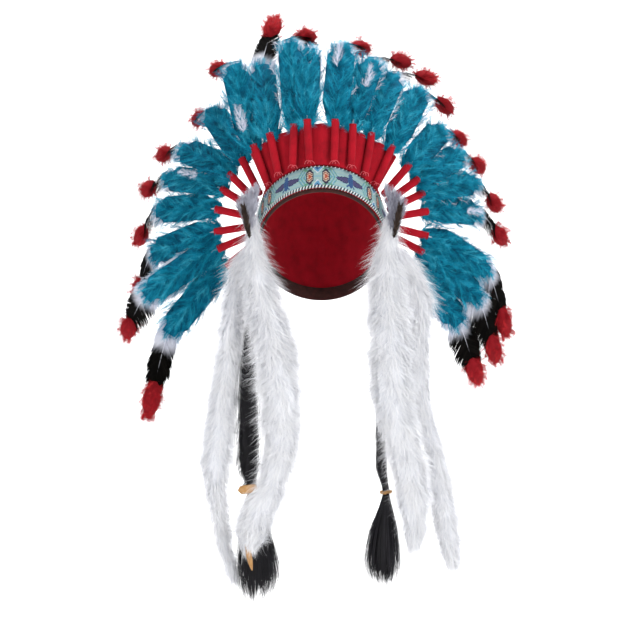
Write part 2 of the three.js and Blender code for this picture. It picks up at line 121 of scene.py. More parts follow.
def addFloor():
    deselectAll()
    middle = (stage["back"] + stage["front"]) / 2
    bpy.ops.mesh.primitive_plane_add(size=1, location=(0, middle, stage["floor"]))
    floor = bpy.context.object
    floor.name = "studio_floor"
    floor.scale = (2 * stage["halfWidth"], stage["back"] - stage["front"], 1)
    bpy.ops.object.transform_apply(location=True, rotation=True, scale=True)
    near = 0.01

    def atBack(edge):
        return all(floor.data.vertices[i].co.y > stage["back"] - near for i in edge.vertices)

    def atFold(edge):
        low = stage["floor"] + near
        return atBack(edge) and all(floor.data.vertices[i].co.z < low for i in edge.vertices)

    editOnly(floor, "edges", "EDGE", atBack)
    bpy.ops.mesh.extrude_region_move(TRANSFORM_OT_translate={"value": (0, 0, stage["rise"])})
    editOnly(floor, "edges", "EDGE", atFold)
    bpy.ops.mesh.bevel(offset=stage["round"], segments=16, affect="EDGES")
    bpy.ops.object.mode_set(mode="OBJECT")
    bpy.ops.object.shade_smooth()
    paper = bpy.data.materials.new("paleStudioPaper")
    paper.use_nodes = True
    surface = paper.node_tree.nodes["Principled BSDF"]
    surface.inputs["Base Color"].default_value = (0.94, 0.94, 0.945, 1)
    surface.inputs["Roughness"].default_value = 0.95
    floor.data.materials.append(paper)


lights = {
    "key": {"place": (1.5, -2.0, 1.7), "target": (0, -0.02, 0), "size": 1.0, "power": 46},
    "fill": {"place": (-2.0, -1.9, 0.5), "target": (0, 0, -0.05), "size": 1.8, "power": 15},
    "top": {"place": (0.1, 0.3, 2.0), "target": (0, 0.1, 0.1), "size": 1.4, "power": 14},
    "paper": {"place": (0, 1.3, 2.9), "target": (0, 3.4, 0.2), "size": 3.0, "power": 190},
}


def addLights():
    for name, light in lights.items():
        place = Vector(light["place"])
        aim = (Vector(light["target"]) - place).to_track_quat("-Z", "Y").to_euler()
        bpy.ops.object.light_add(type="AREA", location=place, rotation=aim)
        lamp = bpy.context.object
        lamp.name = f"{name}_light"
        lamp.data.size = light["size"]
        lamp.data.energy = light["power"]
    world = bpy.data.worlds.new("studioSky")
    bpy.context.scene.world = world
    world.use_nodes = True
    world.node_tree.nodes["Background"].inputs["Color"].default_value = (0.97, 0.98, 1.0, 1)
    world.node_tree.nodes["Background"].inputs["Strength"].default_value = 0.5
    bpy.context.scene.view_settings.view_transform = "Standard"


addFloor()
addLights()
print("stage and lights are set")


# Finishes. Colours are given as they look on a screen
def fromScreen(red, green, blue):
    def linear(value):
        value /= 255
        return value / 12.92 if value <= 0.04045 else ((value + 0.055) / 1.055) ** 2.4
    return (linear(red), linear(green), linear(blue), 1)


# One shader group for every fibre finish: soft blotches and fine fibre grain at sizes given in millimetres
def makeFibreGroup():
    group = bpy.data.node_groups.new("fibreMottle", "ShaderNodeTree")
    face = group.interface
    face.new_socket("Vector", in_out="INPUT", socket_type="NodeSocketVector")
    for name, value in (("Blotch mm", 14.0), ("Grain mm", 0.8), ("Grain share", 0.5)):
        face.new_socket(name, in_out="INPUT", socket_type="NodeSocketFloat").default_value = value
    face.new_socket("Mottle", in_out="OUTPUT", socket_type="NodeSocketFloat")
    face.new_socket("Height", in_out="OUTPUT", socket_type="NodeSocketFloat")
    new, link = group.nodes.new, group.links.new
    entry, leave = new("NodeGroupInput"), new("NodeGroupOutput")
    noises = {}
    for name, detail in (("Blotch mm", 3), ("Grain mm", 4)):
        perMetre = new("ShaderNodeMath")
        perMetre.operation = "DIVIDE"
        perMetre.inputs[0].default_value = 1000.0
        link(entry.outputs[name], perMetre.inputs[1])
        noise = new("ShaderNodeTexNoise")
        noise.inputs["Detail"].default_value = detail
        noise.inputs["Roughness"].default_value = 0.6
        link(entry.outputs["Vector"], noise.inputs["Vector"])
        link(perMetre.outputs[0], noise.inputs["Scale"])
        noises[name] = noise
    both = new("ShaderNodeMix")
    link(entry.outputs["Grain share"], both.inputs["Factor"])
    link(noises["Blotch mm"].outputs["Fac"], both.inputs[2])
    link(noises["Grain mm"].outputs["Fac"], both.inputs[3])
    link(both.outputs[0], leave.inputs["Mottle"])
    link(noises["Grain mm"].outputs["Fac"], leave.inputs["Height"])
    return group


fibreGroup = makeFibreGroup()


def newFinish(name, roughness, sheen=0.0, specular=0.3):
    material = bpy.data.materials.new(name)
    material.use_nodes = True
    surface = material.node_tree.nodes["Principled BSDF"]
    surface.inputs["Roughness"].default_value = roughness
    surface.inputs["Specular IOR Level"].default_value = specular
    surface.inputs["Sheen Weight"].default_value = sheen
    surface.inputs["Sheen Roughness"].default_value = 0.5
    return material, surface, material.node_tree.nodes.new, material.node_tree.links.new


def addMottle(new, link, blotch, grain, share):
    place = new("ShaderNodeTexCoord")
    mottle = new("ShaderNodeGroup")
    mottle.node_tree = fibreGroup
    mottle.inputs["Blotch mm"].default_value = blotch
    mottle.inputs["Grain mm"].default_value = grain
    mottle.inputs["Grain share"].default_value = share
    link(place.outputs["Object"], mottle.inputs["Vector"])
    return mottle


# Stops are (place, red, green, blue)
def addRamp(new, stops):
    ramp = new("ShaderNodeValToRGB")
    line = ramp.color_ramp
    stops = [(place, fromScreen(*colour)) for place, *colour in stops]
    line.elements[0].position, line.elements[0].color = stops[0]
    line.elements[1].position, line.elements[1].color = stops[-1]
    for place, colour in stops[1:-1]:
        line.elements.new(place).color = colour
    return ramp


def addBump(new, link, surface, height, strength, distance):
    bump = new("ShaderNodeBump")
    bump.inputs["Strength"].default_value = strength
    bump.inputs["Distance"].default_value = distance * mm
    link(height, bump.inputs["Height"])
    link(bump.outputs["Normal"], surface.inputs["Normal"])


# Cloth and leather: blotches and grain drive colour, bump and a little roughness
def makeCloth(name, stops, roughness, sheen, blotch, grain, share, strength, distance):
    material, surface, new, link = newFinish(name, roughness, sheen)
    mottle = addMottle(new, link, blotch, grain, share)
    ramp = addRamp(new, stops)
    link(mottle.outputs["Mottle"], ramp.inputs["Fac"])
    link(ramp.outputs["Color"], surface.inputs["Base Color"])
    addBump(new, link, surface, mottle.outputs["Height"], strength, distance)
    return material


# Down, fur and hair: each strand carries a tone, darker at the root as painted shade and lighter at the tip
# as painted light
def makeStrand(name, stops, roughness, specular, mix=0.25, blotch=9.0):
    material, surface, new, link = newFinish(name, roughness, 0.0, specular)
    tone = new("ShaderNodeAttribute")
    tone.attribute_name = "tone"
    mottle = addMottle(new, link, blotch, 1.6, 0.35)
    blend = new("ShaderNodeMix")
    blend.inputs["Factor"].default_value = mix
    link(tone.outputs["Fac"], blend.inputs[2])
    link(mottle.outputs["Mottle"], blend.inputs[3])
    ramp = addRamp(new, stops)
    link(blend.outputs[0], ramp.inputs["Fac"])
    link(ramp.outputs["Color"], surface.inputs["Base Color"])
    return material


clothRecipes = {  # blotch, grain and distance in millimetres
    "feltRed": {
        "stops": [(0.25, 118, 2, 20), (0.5, 164, 6, 28), (0.75, 184, 12, 34)],
        "roughness": 0.95, "sheen": 0.0, "blotch": 16.0, "grain": 0.7,
        "share": 0.35, "strength": 0.55, "distance": 0.5,
    },
    "liningBrown": {
        "stops": [(0.3, 30, 13, 12), (0.55, 62, 30, 25), (0.8, 92, 44, 36)],
        "roughness": 0.85, "sheen": 0.1, "blotch": 8.0, "grain": 0.5,
        "share": 0.5, "strength": 0.5, "distance": 0.3,
    },
    "leatherTan": {
        "stops": [(0.25, 128, 88, 50), (0.5, 182, 137, 85), (0.8, 214, 172, 120)],
        "roughness": 0.7, "sheen": 0.05, "blotch": 7.0, "grain": 0.5,
        "share": 0.4, "strength": 0.6, "distance": 0.4,
    },
    "threadPink": {
        "stops": [(0.25, 178, 44, 56), (0.55, 206, 74, 82), (0.8, 226, 128, 126)],
        "roughness": 0.45, "sheen": 0.2, "blotch": 3.0, "grain": 0.3,
        "share": 0.6, "strength": 0.5, "distance": 0.2,
    },
    "threadWhite": {
        "stops": [(0.3, 214, 220, 220), (0.55, 236, 238, 236), (0.8, 250, 250, 248)],
        "roughness": 0.5, "sheen": 0.1, "blotch": 3.0, "grain": 0.4,
        "share": 0.5, "strength": 0.5, "distance": 0.2,
    },
    "threadDark": {
        "stops": [(0.3, 20, 18, 24), (0.55, 36, 34, 42), (0.8, 62, 58, 66)],
        "roughness": 0.5, "sheen": 0.1, "blotch": 3.0, "grain": 0.4,
        "share": 0.5, "strength": 0.5, "distance": 0.2,
    },
}
strandRecipes = {  # mix is how much the blotches count beside each strand's own tone
    "downTeal": {
        "stops": [(0.27, 0, 52, 76), (0.39, 0, 98, 128), (0.51, 14, 138, 168), (0.68, 72, 184, 208)],
        "roughness": 0.85, "specular": 0.1, "mix": 0.6, "blotch": 16.0,
    },
    "downRed": {
        "stops": [(0.1, 104, 12, 20), (0.5, 172, 26, 36), (0.9, 210, 58, 58)],
        "roughness": 0.85, "specular": 0.12,
    },
    "downWhite": {
        "stops": [(0.15, 152, 156, 178), (0.5, 214, 218, 232), (0.8, 246, 247, 251)],
        "roughness": 0.85, "specular": 0.1, "mix": 0.5, "blotch": 18.0,
    },
    "furWhite": {
        # the lilac-grey low end gives the fur's painted shade its tint
        "stops": [(0.1, 160, 163, 176), (0.34, 230, 232, 238), (0.62, 254, 254, 255)],
        "roughness": 0.85, "specular": 0.1, "mix": 0.3, "blotch": 30.0,
    },
    "tuftLilac": {
        "stops": [(0.1, 96, 92, 104), (0.45, 160, 160, 174), (0.85, 214, 216, 226)],
        "roughness": 0.8, "specular": 0.15, "mix": 0.3,
    },
    "hairBlack": {
        "stops": [(0.0, 14, 13, 15), (0.6, 30, 29, 33), (1.0, 58, 56, 62)],
        "roughness": 0.5, "specular": 0.22,
    },
    "featherBrown": {
        "stops": [(0.0, 24, 18, 15), (0.6, 56, 44, 38), (1.0, 96, 80, 68)],
        "roughness": 0.7, "specular": 0.15,
    },
}
dressing = {name: makeCloth(name, **recipe) for name, recipe in clothRecipes.items()}
dressing.update({name: makeStrand(name, **recipe) for name, recipe in strandRecipes.items()})


# The flat vane: white near the plume and black beyond it, with a soft edge between, and faint grey bars
def makeVaneFinish():
    material, surface, new, link = newFinish("vaneWhiteToBlack", 0.9, 0.0, 0.02)
    ink, tone = new("ShaderNodeAttribute"), new("ShaderNodeAttribute")
    ink.attribute_name = "ink"
    tone.attribute_name = "tone"
    mottle = addMottle(new, link, 11.0, 1.2, 0.5)
    blend = new("ShaderNodeMix")
    blend.inputs["Factor"].default_value = 0.35
    link(tone.outputs["Fac"], blend.inputs[2])
    link(mottle.outputs["Mottle"], blend.inputs[3])
    pale = addRamp(new, [(0.2, 140, 142, 154), (0.5, 206, 208, 220), (0.8, 240, 241, 246)])
    dark = addRamp(new, [(0.2, 2, 2, 2), (0.55, 11, 10, 9), (0.9, 36, 32, 28)])
    link(blend.outputs[0], pale.inputs["Fac"])
    link(blend.outputs[0], dark.inputs["Fac"])
    colour = new("ShaderNodeMix")
    colour.data_type = "RGBA"
    link(ink.outputs["Fac"], colour.inputs["Factor"])
    link(pale.outputs["Color"], colour.inputs[6])
    link(dark.outputs["Color"], colour.inputs[7])
    link(colour.outputs[2], surface.inputs["Base Color"])
    return material


dressing["vaneWhiteToBlack"] = makeVaneFinish()


# Woven ribbon: each stitch has its own thread colour, and the weave rises and falls with the stitches
def makeRibbonFinish():
    material, surface, new, link = newFinish("ribbonWoven", 0.72, 0.1, 0.35)
    thread = new("ShaderNodeAttribute")
    thread.attribute_name = "thread"
    mottle = addMottle(new, link, 12.0, 0.6, 0.5)
    shade = addRamp(new, [(0.25, 220.6, 220.6, 223.3), (0.75, 255, 255, 255)])
    link(mottle.outputs["Mottle"], shade.inputs["Fac"])
    colour = new("ShaderNodeMix")
    colour.data_type = "RGBA"
    colour.blend_type = "MULTIPLY"
    colour.inputs["Factor"].default_value = 1.0
    link(thread.outputs["Color"], colour.inputs[6])
    link(shade.outputs["Color"], colour.inputs[7])
    link(colour.outputs[2], surface.inputs["Base Color"])
    cloth = new("ShaderNodeUVMap")
    cloth.uv_map = "weave"
    weft = new("ShaderNodeTexWave")
    weft.wave_type = "BANDS"
    weft.bands_direction = "Y"
    weft.inputs["Scale"].default_value = 0.314
    weft.inputs["Distortion"].default_value = 0.6
    link(cloth.outputs["UV"], weft.inputs["Vector"])
    addBump(new, link, surface, weft.outputs["Fac"], 0.6, 0.25)
    return material


dressing["ribbonWoven"] = makeRibbonFinish()
print("finishes are mixed")


# Strands
# A bundle gathers many small ribbons and tubes, then becomes one mesh
def newBundle(seed):
    return {"points": [], "quads": [], "tips": [], "quadFinish": [], "tipFinish": [], "tone": [], "ink": [],
            "count": 0, "random": np.random.default_rng(seed)}


def unit(vectors):
    return vectors / np.maximum(np.linalg.norm(vectors, axis=-1, keepdims=True), 1e-12)


def addPoints(bundle, points, tone, ink):
    points = points.reshape(-1, 3)
    bundle["points"].append(points)
    bundle["tone"].append(np.broadcast_to(tone, len(points)).astype(np.float32).copy())
    bundle["ink"].append(np.broadcast_to(ink, len(points)).astype(np.float32).copy())
    bundle["count"] += len(points)


# Flat tapering ribbons: centres and across are (ribbon, point, xyz) and halves (ribbon, point), up to the tip
def addRibbons(bundle, centres, across, halves, tone, finish=0, ink=None):
    number, steps = centres.shape[:2]
    width = across[:, :-1] * halves[:, :-1, None]
    pairs = np.stack([centres[:, :-1] - width, centres[:, :-1] + width], axis=2).reshape(number, -1, 3)
    points = np.concatenate([pairs, centres[:, -1:]], axis=1)
    tone = np.broadcast_to(tone, (number, steps))
    ink = np.zeros((number, steps)) if ink is None else np.broadcast_to(ink, (number, steps))
    tone, ink = (
        np.concatenate([np.repeat(value[:, :-1], 2, axis=1), value[:, -1:]], axis=1) for value in (tone, ink)
    )
    first = bundle["count"] + (2 * steps - 1) * np.arange(number)[:, None, None]
    quad = np.array([[2 * j, 2 * j + 1, 2 * j + 3, 2 * j + 2] for j in range(steps - 2)]).reshape(1, -1, 4)
    last = np.array([[[2 * steps - 4, 2 * steps - 3, 2 * steps - 2]]])
    bundle["quads"].append((first + quad).reshape(-1, 4))
    bundle["quadFinish"].append(np.full(number * (steps - 2), finish))
    bundle["tips"].append((first + last).reshape(-1, 3))
    bundle["tipFinish"].append(np.full(number, finish))
    addPoints(bundle, points, tone.ravel(), ink.ravel())


# A closed skin over rings of points (ring, point, xyz)
def addLoft(bundle, rings, tone, finish=0, ink=0.0):
    count, around = rings.shape[:2]
    first = bundle["count"]
    index = first + np.arange(count * around).reshape(count, around)
    ahead = np.roll(index, -1, axis=1)
    quads = np.stack([index[:-1], ahead[:-1], ahead[1:], index[1:]], axis=-1).reshape(-1, 4)
    ends = [first + count * around, first + count * around + 1]
    root = np.stack([np.full(around, ends[0]), ahead[0], index[0]], axis=-1)
    tip = np.stack([np.full(around, ends[1]), index[-1], ahead[-1]], axis=-1)
    bundle["quads"].append(quads)
    bundle["quadFinish"].append(np.full(len(quads), finish))
    bundle["tips"].append(np.concatenate([root, tip]))
    bundle["tipFinish"].append(np.full(2 * around, finish))
    caps = np.stack([rings[0].mean(axis=0), rings[-1].mean(axis=0)])
    addPoints(bundle, np.concatenate([rings.reshape(-1, 3), caps]), tone, ink)


# Rings round a path: side and up span each ring, and radius may change from point to point
def tubeRings(path, side, up, radius, sides):
    turn = np.linspace(0, 2 * math.pi, sides, endpoint=False)[None, :, None]
    side, up = (np.broadcast_to(way, path.shape)[:, None] for way in (side, up))
    return path[:, None] + np.reshape(radius, (-1, 1, 1)) * (np.cos(turn) * side + np.sin(turn) * up)


def bundleToPiece(bundle, name, *finishes):
    points = np.concatenate(bundle["points"])
    quads = np.concatenate(bundle["quads"]) if bundle["quads"] else np.zeros((0, 4), int)
    tips = np.concatenate(bundle["tips"]) if bundle["tips"] else np.zeros((0, 3), int)
    mesh = bpy.data.meshes.new(name)
    mesh.vertices.add(len(points))
    mesh.vertices.foreach_set("co", points.astype(np.float32).ravel())
    mesh.loops.add(4 * len(quads) + 3 * len(tips))
    mesh.loops.foreach_set("vertex_index", np.concatenate([quads.ravel(), tips.ravel()]).astype(np.int32))
    mesh.polygons.add(len(quads) + len(tips))
    starts = np.concatenate([4 * np.arange(len(quads)), 4 * len(quads) + 3 * np.arange(len(tips))])
    mesh.polygons.foreach_set("loop_start", starts.astype(np.int32))
    mesh.polygons.foreach_set("use_smooth", np.ones(len(starts), dtype=bool))
    finish = np.concatenate(bundle["quadFinish"] + bundle["tipFinish"]).astype(np.int32)
    mesh.update(calc_edges=True)
    for kind in ("tone", "ink"):
        values = np.concatenate(bundle[kind])
        mesh.attributes.new(kind, "FLOAT", "POINT").data.foreach_set("value", values)
    for finishName in finishes:
        mesh.materials.append(dressing[finishName])
    mesh.polygons.foreach_set("material_index", finish)
    piece = bpy.data.objects.new(name, mesh)
    bpy.context.scene.collection.objects.link(piece)
    return piece


# The rings of a lofted CAD node, in order from the end nearest to a given place
def loftRings(node, near, around):
    mesh = nodes[node].data
    points, same = np.unique(np.round(vertexPlaces(mesh), 5), axis=0, return_inverse=True)
    same = same.ravel()
    links = [set() for _ in points]
    for polygon in mesh.polygons:
        corner = [same[i] for i in polygon.vertices]
        for a, b in zip(corner, corner[1:] + corner[:1]):
            links[a].add(b)
            links[b].add(a)

    def capsRing(i):  # the middle of an end is linked to one whole ring, whose points are all linked too
        ring = links[i]
        return len(ring) == around and len(ring & set().union(*[links[j] for j in ring])) == around

    def apart(i):
        return np.linalg.norm(points[i] - near)

    start = min([i for i in range(len(points)) if capsRing(i)] or range(len(points)), key=apart)
    rings, seen, edge = [], {start}, {start}
    while True:
        edge = set().union(*[links[i] for i in edge]) - seen
        if len(edge) != around:
            return rings
        seen |= edge
        rings.append(points[sorted(edge)])


# The line of a lofted node: stations with a middle, a direction, a width, a face and a half width
def lineFrom(middles, stations, widths, halves=0.0):
    stations = np.asarray(stations, float)
    ahead = unit(np.gradient(middles, stations, axis=0))
    widths = unit(widths - ahead * np.sum(widths * ahead, axis=1, keepdims=True))
    faces = unit(np.cross(widths, ahead))
    halves = np.broadcast_to(halves, len(stations))[:, None]
    reach = 40.0  # both ends run on straight, so that strands may pass them
    stretched = [np.concatenate([[stations[0] - reach], stations, [stations[-1] + reach]])]
    first, last = middles[0] - ahead[0] * reach * mm, middles[-1] + ahead[-1] * reach * mm
    stretched.append(np.concatenate([[first], middles, [last]]))
    for values in (ahead, widths, faces, halves):
        stretched.append(np.concatenate([values[:1], values, values[-1:]]))
    return dict(zip(("along", "middle", "ahead", "width", "face", "half"), stretched))


def valuesAt(line, key, along):
    columns = line[key].T
    return np.stack([np.interp(along, line["along"], column) for column in columns], axis=-1)


# Local places are (along, across, forward) in millimetres
def toSpace(line, local):
    along = local[..., 0]
    place = valuesAt(line, "middle", along)
    for i, key in ((1, "width"), (2, "face")):
        place = place + valuesAt(line, key, along) * (local[..., i] * mm)[..., None]
    return place


def turnToSpace(line, along, local):
    ways = ("ahead", "width", "face")
    return unit(sum(valuesAt(line, key, along) * local[..., i, None] for i, key in enumerate(ways)))


def addLocalRibbons(bundle, line, local, acrossLocal, halves, tone, finish=0, ink=None):
    across = turnToSpace(line, local[..., 0], acrossLocal)
    addRibbons(bundle, toSpace(line, local), across, halves * mm, tone, finish, ink)


# A closed tube along a line: half width, half thickness and depth at each station, in millimetres
def addLocalTube(bundle, line, stations, wide, thick, depth, sides, tone, finish=0, ink=0.0):
    turn = np.linspace(0, 2 * math.pi, sides, endpoint=False)
    stations, wide, thick, depth = (
        np.broadcast_to(value, len(stations))[:, None] for value in (stations, wide, thick, depth)
    )
    rings = np.stack([stations + 0 * turn, wide * np.cos(turn), thick * np.sin(turn) + depth], axis=-1)
    addLoft(bundle, toSpace(line, rings[:, ::-1]), tone, finish, ink)


# Barbs that leave the quill at an angle and bend: how far along and across each of their points lies
def bendBarbs(roots, angle, reach, side):
    step = reach[:, None] / np.sin(angle).mean(axis=1, keepdims=True) / (angle.shape[1] - 1)
    ahead, out = np.cos(angle) * step, np.sin(angle) * step
    along = roots[:, None] + np.cumsum(ahead, axis=1) - ahead[:, :1]
    return along, side * (np.cumsum(out, axis=1) - out[:, :1])


# Single fine blades, each from a root to a tip, both in local places
def addBlades(bundle, line, roots, tips, lie, half, rootTone, tipTone, finish=0):
    width = turnToSpace(line, roots[:, 0], lie) * (half * mm)
    foot = toSpace(line, roots)
    points = np.stack([foot - width, foot + width, toSpace(line, tips)], axis=1)
    number = len(points)
    bundle["tips"].append(bundle["count"] + np.arange(3 * number).reshape(-1, 3))
    bundle["tipFinish"].append(np.full(number, finish))
    addPoints(bundle, points, np.clip(np.stack([rootTone, rootTone, tipTone], axis=1), 0, 1).ravel(), 0.0)


# Small barbules on both sides of every barb: barbs is (barb, point, local xyz)
def addBarbules(bundle, line, barbs, count, length, half, tone, finish, spread=(15, 50)):
    random = bundle["random"]
    number, steps = barbs.shape[:2]
    share = np.linspace(0.1, 1, count)
    at = share * (steps - 1)
    low = np.minimum(at.astype(int), steps - 2)
    part = (at - low)[None, :, None]
    roots = barbs[:, low] * (1 - part) + barbs[:, low + 1] * part
    ahead = unit(barbs[:, low + 1] - barbs[:, low])
    for side in (-1, 1):
        shape = (number, count)
        angle = np.radians(random.uniform(*spread, shape)) * side
        # turn the barb's own direction within the feather's plane, then lift it a little out of the plane
        cos, sin = np.cos(angle)[..., None], np.sin(angle)[..., None]
        flat = np.stack([-ahead[..., 1], ahead[..., 0], ahead[..., 2] * 0], axis=-1)
        way = unit(ahead * cos + unit(flat) * sin + random.normal(0, 0.3, (*shape, 3)) * [0.5, 0.5, 1])
        size = (length * random.uniform(0.45, 1.15, shape) * (1.05 - 0.35 * share))[..., None]
        lie = unit(np.stack([-way[..., 1], way[..., 0], random.normal(0, 0.4, shape)], axis=-1))
        # barbules further out along the barb, and their tips, are lighter: painted light
        level = (tone[:, None] + 0.1 * share + random.normal(0, 0.07, shape)).ravel()
        ends = (each.reshape(-1, 3) for each in (roots, roots + way * size, lie))
        addBlades(bundle, line, *ends, half, level, level + 0.12, finish)


# Down round a line: the tips fill the form evenly, and every barb comes from the middle a little lower down
downHabit = {"inner": 0.2, "points": 5, "rootRoom": 4, "bow": (1.3, 2.0), "beat": (3, 7), "toneSpread": 0.13,
             "paintedBackShade": 0.08, "paintedTipLight": 0.12, "taper": [1.0, 0.95, 0.8, 0.5, 0.0]}


def addDown(bundle, line, form, wide, finish, shade, behind=0.0):
    random, habit = bundle["random"], downHabit
    count = form["barbs"]
    tip = random.uniform(form["from"], form["to"], count)
    base = form["base"] + (1 - form["base"]) * smooth(tip, form["from"] - 6, form["from"] + form["widen"])
    past = np.clip(tip - form["roundFrom"], 0, None) / (form["to"] + 2 - form["roundFrom"])
    top = np.sqrt(np.clip(1 - past**2, 0, 1))
    turn = random.uniform(0, 2 * math.pi, count)
    reach = random.uniform(habit["inner"] ** 2, 1, count) ** 0.5
    reach = reach + form["ragged"] * random.uniform(-1, 1, count)
    out = reach * wide * base * top
    run = form["run"] * (0.4 + 0.6 * reach * np.abs(np.cos(turn))) * random.uniform(0.75, 1.2, count)
    root = np.maximum(tip - run, form["root"] + random.uniform(0, habit["rootRoom"], count))
    t = np.linspace(0, 1, habit["points"])
    along = root[:, None] + (tip - root)[:, None] * t[None] ** 1.15
    path = out[:, None] * (1 - (1 - t[None]) ** random.uniform(*habit["bow"], (count, 1)))
    beat, phase = random.uniform(*habit["beat"], (count, 1)), random.uniform(0, 6, (count, 1))
    wave = form["wave"] * np.sin(t[None] * beat + phase) * t
    across = path * np.cos(turn)[:, None] + wave * random.normal(0, 1, (count, 1))
    forward = path * form["flat"] * np.sin(turn)[:, None] + wave * 0.6 * random.normal(0, 1, (count, 1))
    barbs = np.stack([along, across, forward - behind], axis=-1)
    way = unit(np.gradient(barbs, axis=1))
    lie = unit(np.cross(way, np.array([0.0, 0.0, 1.0]) + random.normal(0, form["roll"], (count, 1, 3))))
    # barbs on the back side of the form are darker: painted shade
    tone = shade + random.normal(0, habit["toneSpread"], count) - habit["paintedBackShade"] * (np.sin(turn) < 0)
    tone = np.clip(tone, 0, 1)
    halves = form["half"] * np.array(habit["taper"]) * np.ones((count, 1))
    # each barb grows lighter towards its tip: painted light on the outer fluff
    light = np.clip(tone[:, None] + habit["paintedTipLight"] * t, 0, 1)
    addLocalRibbons(bundle, line, barbs, lie, halves, light, finish)
    fine = [form[key] for key in ("barbules", "barbule", "fine")]
    addBarbules(bundle, line, barbs, *fine, tone, finish, form["spread"])


def smooth(value, low, high):
    share = np.clip((value - low) / (high - low), 0, 1)
    return share * share * (3 - 2 * share)


# Feathers: stations in millimetres from the foot of the wrap, as the CAD lofts have them.
# Down forms: from root, from and to are stations, wide and flat the form's width and relative thickness,
# run a barb's length, half and fine the half widths of barbs and barbules
featherStations = [28, 55, *np.linspace(57, 172, 9), 178, 224, 240, 248, 270, 294]
plume = {
    "root": 42, "from": 50, "to": 181, "roundFrom": 154, "base": 0.7, "widen": 32, "run": 34, "flat": 0.34,
    "wave": 1.2, "roll": 0.35, "barbs": 192, "half": 0.5, "barbules": 20, "barbule": 9.5, "fine": 0.19,
    "wide": 26.0, "ragged": 0.16, "spread": (15, 50), "shade": 0.36,
}
plumeHeart = {"from": 47, "to": 170, "share": 0.66, "thick": 1.7, "behind": 1.6}
under = {
    "root": 60, "from": 68, "to": 202, "roundFrom": 186, "base": 0.6, "widen": 40, "run": 30, "flat": 0.14,
    "wave": 1.4, "roll": 0.3, "barbs": 72, "half": 0.6, "barbules": 15, "barbule": 8.0, "fine": 0.2,
    "wide": 26.0, "ragged": 0.06, "spread": (15, 50), "shade": 0.5, "behind": 7.0,
}
fluff = {
    "root": 236, "from": 243, "to": 291, "roundFrom": 266, "base": 0.7, "widen": 12, "run": 14, "flat": 0.85,
    "wave": 0.8, "roll": 0.9, "barbs": 158, "half": 0.3, "barbules": 16, "barbule": 7.5, "fine": 0.18,
    "wide": 18.5, "ragged": 0.07, "spread": (15, 75), "shade": 0.4,
}
fluffHeart = {"stations": [236, 246, 259, 273, 286], "wide": [2.5, 9.4, 12.4, 10.4, 3.5], "flat": 0.8}
wisp = {
    "root": -2, "from": 2, "to": 34, "roundFrom": 18, "base": 0.5, "widen": 10, "run": 16, "flat": 0.4,
    "wave": 0.6, "roll": 0.6, "barbs": 22, "half": 0.2, "barbules": 10, "barbule": 6.5, "fine": 0.12,
    "wide": 7.0, "ragged": 0.06, "spread": (15, 50), "shade": 0.42, "ahead": 9.0,
}
wisps = {  # how far along and across its feather each one starts
    ("left", 1): (126, -3), ("left", 2): (108, 5), ("left", 8): (120, 2), ("right", 4): (70, -6),
    ("right", 7): (92, 4),
}
vane = {
    "start": 66, "end": 247, "barbs": 168, "clump": 12, "half": 18.5, "broad": 24, "cup": 5.0,
    "black": (183, 197), "narrow": 0.56, "narrowFrom": 194, "narrowTo": 252,
    "angle": 48, "lastAngle": 32, "tipAngle": 24,
    "taper": [0.9, 0.9, 0.85, 0.6, 0.0], "level": (170, 200),
}
broadVanes = [("left", 9), ("left", 10), ("left", 11), ("right", 10)]
quill = {"radius": 1.2, "tipRadius": 0.35, "behind": 3.5,
         "stations": [24, 40, 56, 80, 120, 160, 178, 200, 224, 242]}
featherFinishes = ("downTeal", "downRed", "vaneWhiteToBlack", "downWhite")
tealSlot, redSlot, vaneSlot, whiteSlot = range(4)
freeHalf = 17  # a CAD feather at least this wide on each side has room for a full plume


def featherLineOf(sideName, number):
    low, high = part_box(f"quill_wrap_{sideName}_{number:02d}")
    near = np.array((low + high) / 2)  # the quill starts halfway up the wrap
    rings = loftRings(f"feather_{sideName}_{number:02d}", near, 6)
    middles, widths, halves = [], [], []
    for ring in rings:
        apart = np.linalg.norm(ring[:, None] - ring[None], axis=-1)
        a, b = np.unravel_index(apart.argmax(), apart.shape)
        middles.append((ring[a] + ring[b]) / 2 if len(widths) > 1 else ring.mean(axis=0))
        widths.append(ring[a] - ring[b])
        halves.append(apart.max() / 2 / mm)
    widths[0] = widths[1] = widths[2]
    for i in range(len(widths)):  # widths all point the same way, with the face towards the front
        if i and np.dot(widths[i], widths[i - 1]) < 0:
            widths[i] = -widths[i]
    ahead = middles[2] - middles[0]
    if np.cross(widths[0], ahead)[1] > 0:
        widths = [-width for width in widths]
    return lineFrom(np.array(middles), featherStations, unit(np.array(widths)), halves)


def addPlume(bundle, line, room):
    wide = plume["wide"] * (0.7 + 0.3 * room)
    addDown(bundle, line, plume, wide, tealSlot, plume["shade"])
    # a dark heart, so that no light comes straight through the middle; its dark teal is painted shade inside
    # the plume
    heart = plumeHeart
    stations = np.linspace(heart["from"], heart["to"], 14)
    swell = np.minimum(1, 0.5 + (stations - heart["from"] + 1) / 60) * np.where(stations > 160, 0.55, 1)
    half = heart["share"] * wide * swell
    addLocalTube(bundle, line, stations, half, heart["thick"], -heart["behind"], 8, 0.15, tealSlot)


